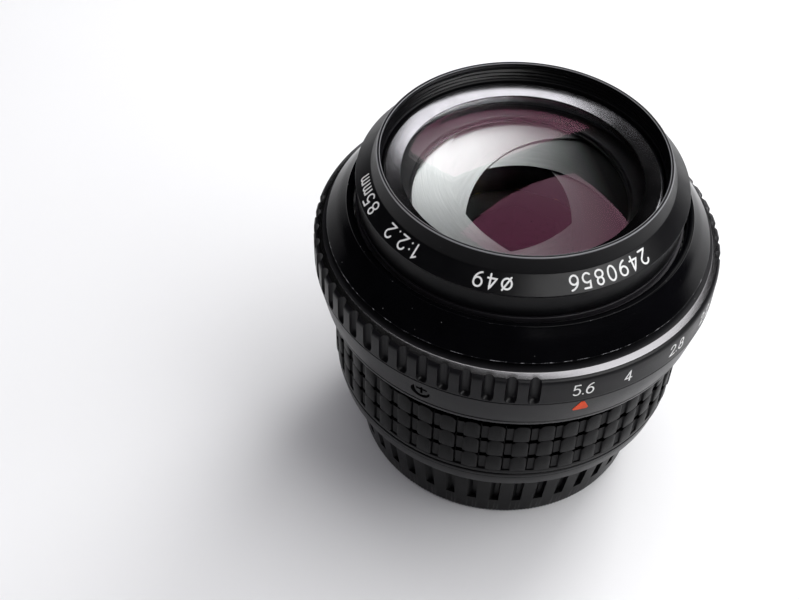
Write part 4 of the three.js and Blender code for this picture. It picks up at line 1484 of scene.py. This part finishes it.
def cap_outline(depth, tooth):
    """Outline of the cap where its slot is depth deep and the knurl at its foot tooth deep."""
    points = [
        (0, 0),
        (CAP_GROOVE.inner, 0),
        (CAP_GROOVE.inner + CAP_GROOVE.slope, CAP_GROOVE.depth),
        (CAP_GROOVE.outer - CAP_GROOVE.slope, CAP_GROOVE.depth),
        (CAP_GROOVE.outer, 0),
        (CAP_FOOT - 0.35, 0),
        (CAP_FOOT - 0.08 - tooth, 0.12),
        (cap_radius(TOOTH.top - 0.25) - tooth, TOOTH.top - 0.25),
        (cap_radius(TOOTH.top), TOOTH.top),
        (cap_radius(SLOT.bottom - 0.1), SLOT.bottom - 0.1),
        (cap_radius(SLOT.bottom) - depth, SLOT.bottom),
        (cap_radius(CAP.top - 1.2) - depth, CAP.top - 1.2),
        (cap_radius(CAP.top - 0.15) - depth, CAP.top - 0.15),
        (cap_radius(CAP.top) - 0.2 - depth, CAP.top),
        (CAP_BORE + 0.15, CAP.top),
        (CAP_BORE, CAP.top - 0.15),
        (CAP_BORE - 0.2, CAP_FLOOR + 0.4),
        (CAP_BORE - 0.6, CAP_FLOOR),
        (0, CAP_FLOOR),
    ]
    return plain(points, 0)


cap_columns = []  # angle, depth of the slot there, depth of the knurl there
cap_pitch = 360 / SLOT.count
half_teeth = TOOTH.per_slot * 2
for i in range(SLOT.count):
    right = SLOT.right + i * cap_pitch
    left = right - SLOT.width
    for k in range(half_teeth):
        angle = right + cap_pitch * (k + 0.5) / half_teeth
        turn = (angle - left) % cap_pitch
        depth = SLOT.deep * min(1.0, 2.1 * turn / SLOT.width) if 0 < turn < SLOT.width else 0.0
        cap_columns.append((angle, depth, TOOTH.depth if k % 2 else 0.0))
    marks = [
        (left, 0.0),
        (left + SLOT.width * 0.35, 0.75),
        (left + SLOT.width * 0.6, 1.0),
        (right - 0.06, 1.0),
        (right, 0.0),
    ]
    cap_columns += [(angle, SLOT.deep * share, TOOTH.depth * 0.5) for angle, share in marks]
cap_columns = sorted((angle % 360, depth, tooth) for angle, depth, tooth in cap_columns)
cap_body = swept(
    "rear_cap_shell",
    [from_index(angle) for angle, _, _ in cap_columns],
    [cap_outline(depth, tooth) for _, depth, tooth in cap_columns],
    smooth_below=26,
)
finish_piece(cap_body, plastic, "cap", "cap_plastic", "rear_cap")

for lug in lugs("cap_lug", CAP_LUG, CAP_LUG.bottom, 16):
    finish_piece(lug, plastic, "cap", "cap_plastic")


# ---- CAD pieces that keep their shape ----

KEPT = {
    "guide_tube": tube_brass,
    "helicoid_ring": helicoid_brass,
    "iris_cam_ring": brass,
    "straight_key_1": steel,
    "straight_key_2": steel,
    "focus_stop": steel,
    "click_ball": steel,
    "click_spring": steel,
    "aperture_drive_pin": steel,
    "iris_base": matt,
}
for node, finish in KEPT.items():
    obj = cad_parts[node]
    if not obj.material_slots:
        obj.data.materials.append(None)
    for each in obj.material_slots:
        each.link = "OBJECT"
        each.material = finish.material


# ---- Floor, light and camera ----

floor_finish = Finish("studio_floor", (0.86, 0.86, 0.865), 0.7)
floor_finish.mottle(0.004, 0.01)

FLOOR_HALF = 4000
FLOOR_HEIGHT = -0.02  # just clear of the cap's underside
bm = bmesh.new()
bmesh.ops.create_grid(bm, x_segments=8, y_segments=8, size=FLOOR_HALF * MM)
bmesh.ops.translate(bm, verts=bm.verts, vec=(0, 0, FLOOR_HEIGHT * MM))
floor = object_from("floor", bm)
floor.data.materials.append(floor_finish.material)

VIEW = Sizes(
    azimuth=-16.4,
    elevation=47.17,
    roll=1.5,
    distance=245.7,
    across=-20.43,  # the point looked at, beside the axis and up from the floor
    height=29.57,
    lens=58.57,
    frame_width=36,
)
view_turn = math.radians(VIEW.azimuth)
view_rise = math.radians(VIEW.elevation)
right = Vector((*around(1, view_turn), 0))
ahead = Vector((-right.y, right.x, 0))
back = -ahead * math.cos(view_rise) + Vector((0, 0, math.sin(view_rise)))
above = back.cross(right)
roll = math.radians(VIEW.roll)
camera_x = right * math.cos(roll) + above * math.sin(roll)
camera_y = above * math.cos(roll) - right * math.sin(roll)
target = right * VIEW.across + Vector((0, 0, VIEW.height))


def stand(where, x, y, z):
    """The matrix that puts a thing at a point, with its axes along three directions."""
    return Matrix.Translation(where * MM) @ Matrix((x, y, z)).transposed().to_4x4()


camera = bpy.data.objects.new("camera", bpy.data.cameras.new("camera"))
camera.data.lens = VIEW.lens
camera.data.sensor_width = VIEW.frame_width
camera.data.clip_start = 0.01
camera.matrix_world = stand(target + back * VIEW.distance, camera_x, camera_y, back)
bpy.context.scene.collection.objects.link(camera)
bpy.context.scene.camera = camera


def softbox(name, across, forward, up, size, power, aim=(0, 0, 30), turn=0):
    """An area light placed as the camera sees the set, to its right, ahead of it and up, and
    turned about its own axis."""
    light = bpy.data.lights.new(name, "AREA")
    light.shape = "RECTANGLE"
    light.size, light.size_y = size[0] * MM, size[1] * MM
    light.energy = power
    obj = bpy.data.objects.new(name, light)
    where = right * across + ahead * forward + Vector((0, 0, up))
    at = right * aim[0] + ahead * aim[1] + Vector((0, 0, aim[2]))
    z = (where - at).normalized()
    x = (right - z * right.dot(z)).normalized()
    x = Matrix.Rotation(math.radians(turn), 3, z) @ x
    obj.matrix_world = stand(where, x, z.cross(x), z)
    obj.visible_camera = False
    bpy.context.scene.collection.objects.link(obj)
    return obj


softbox("overhead", 460, -18, 600, (660, 1140), 6.6, aim=(460, -18, 0), turn=45)
edge_light = softbox("edge_light", 370, -390, 480, (760, 200), 4.2, aim=(0, 0, 60), turn=18)
edge_light.visible_diffuse = False
rear_fill = softbox("rear_fill", 420, 620, 460, (360, 360), 4.0)
rear_fill.visible_glossy = False
rear_fill.visible_transmission = False

world = bpy.data.worlds.new("studio")
world.use_nodes = True
sky = world.node_tree.nodes["Background"].inputs
sky["Color"].default_value = (0.95, 0.94, 1.0, 1)
sky["Strength"].default_value = 0.36
bpy.context.scene.world = world
world.cycles_visibility.glossy = False
world.cycles_visibility.transmission = False
bpy.context.scene.view_settings.view_transform = "Standard"
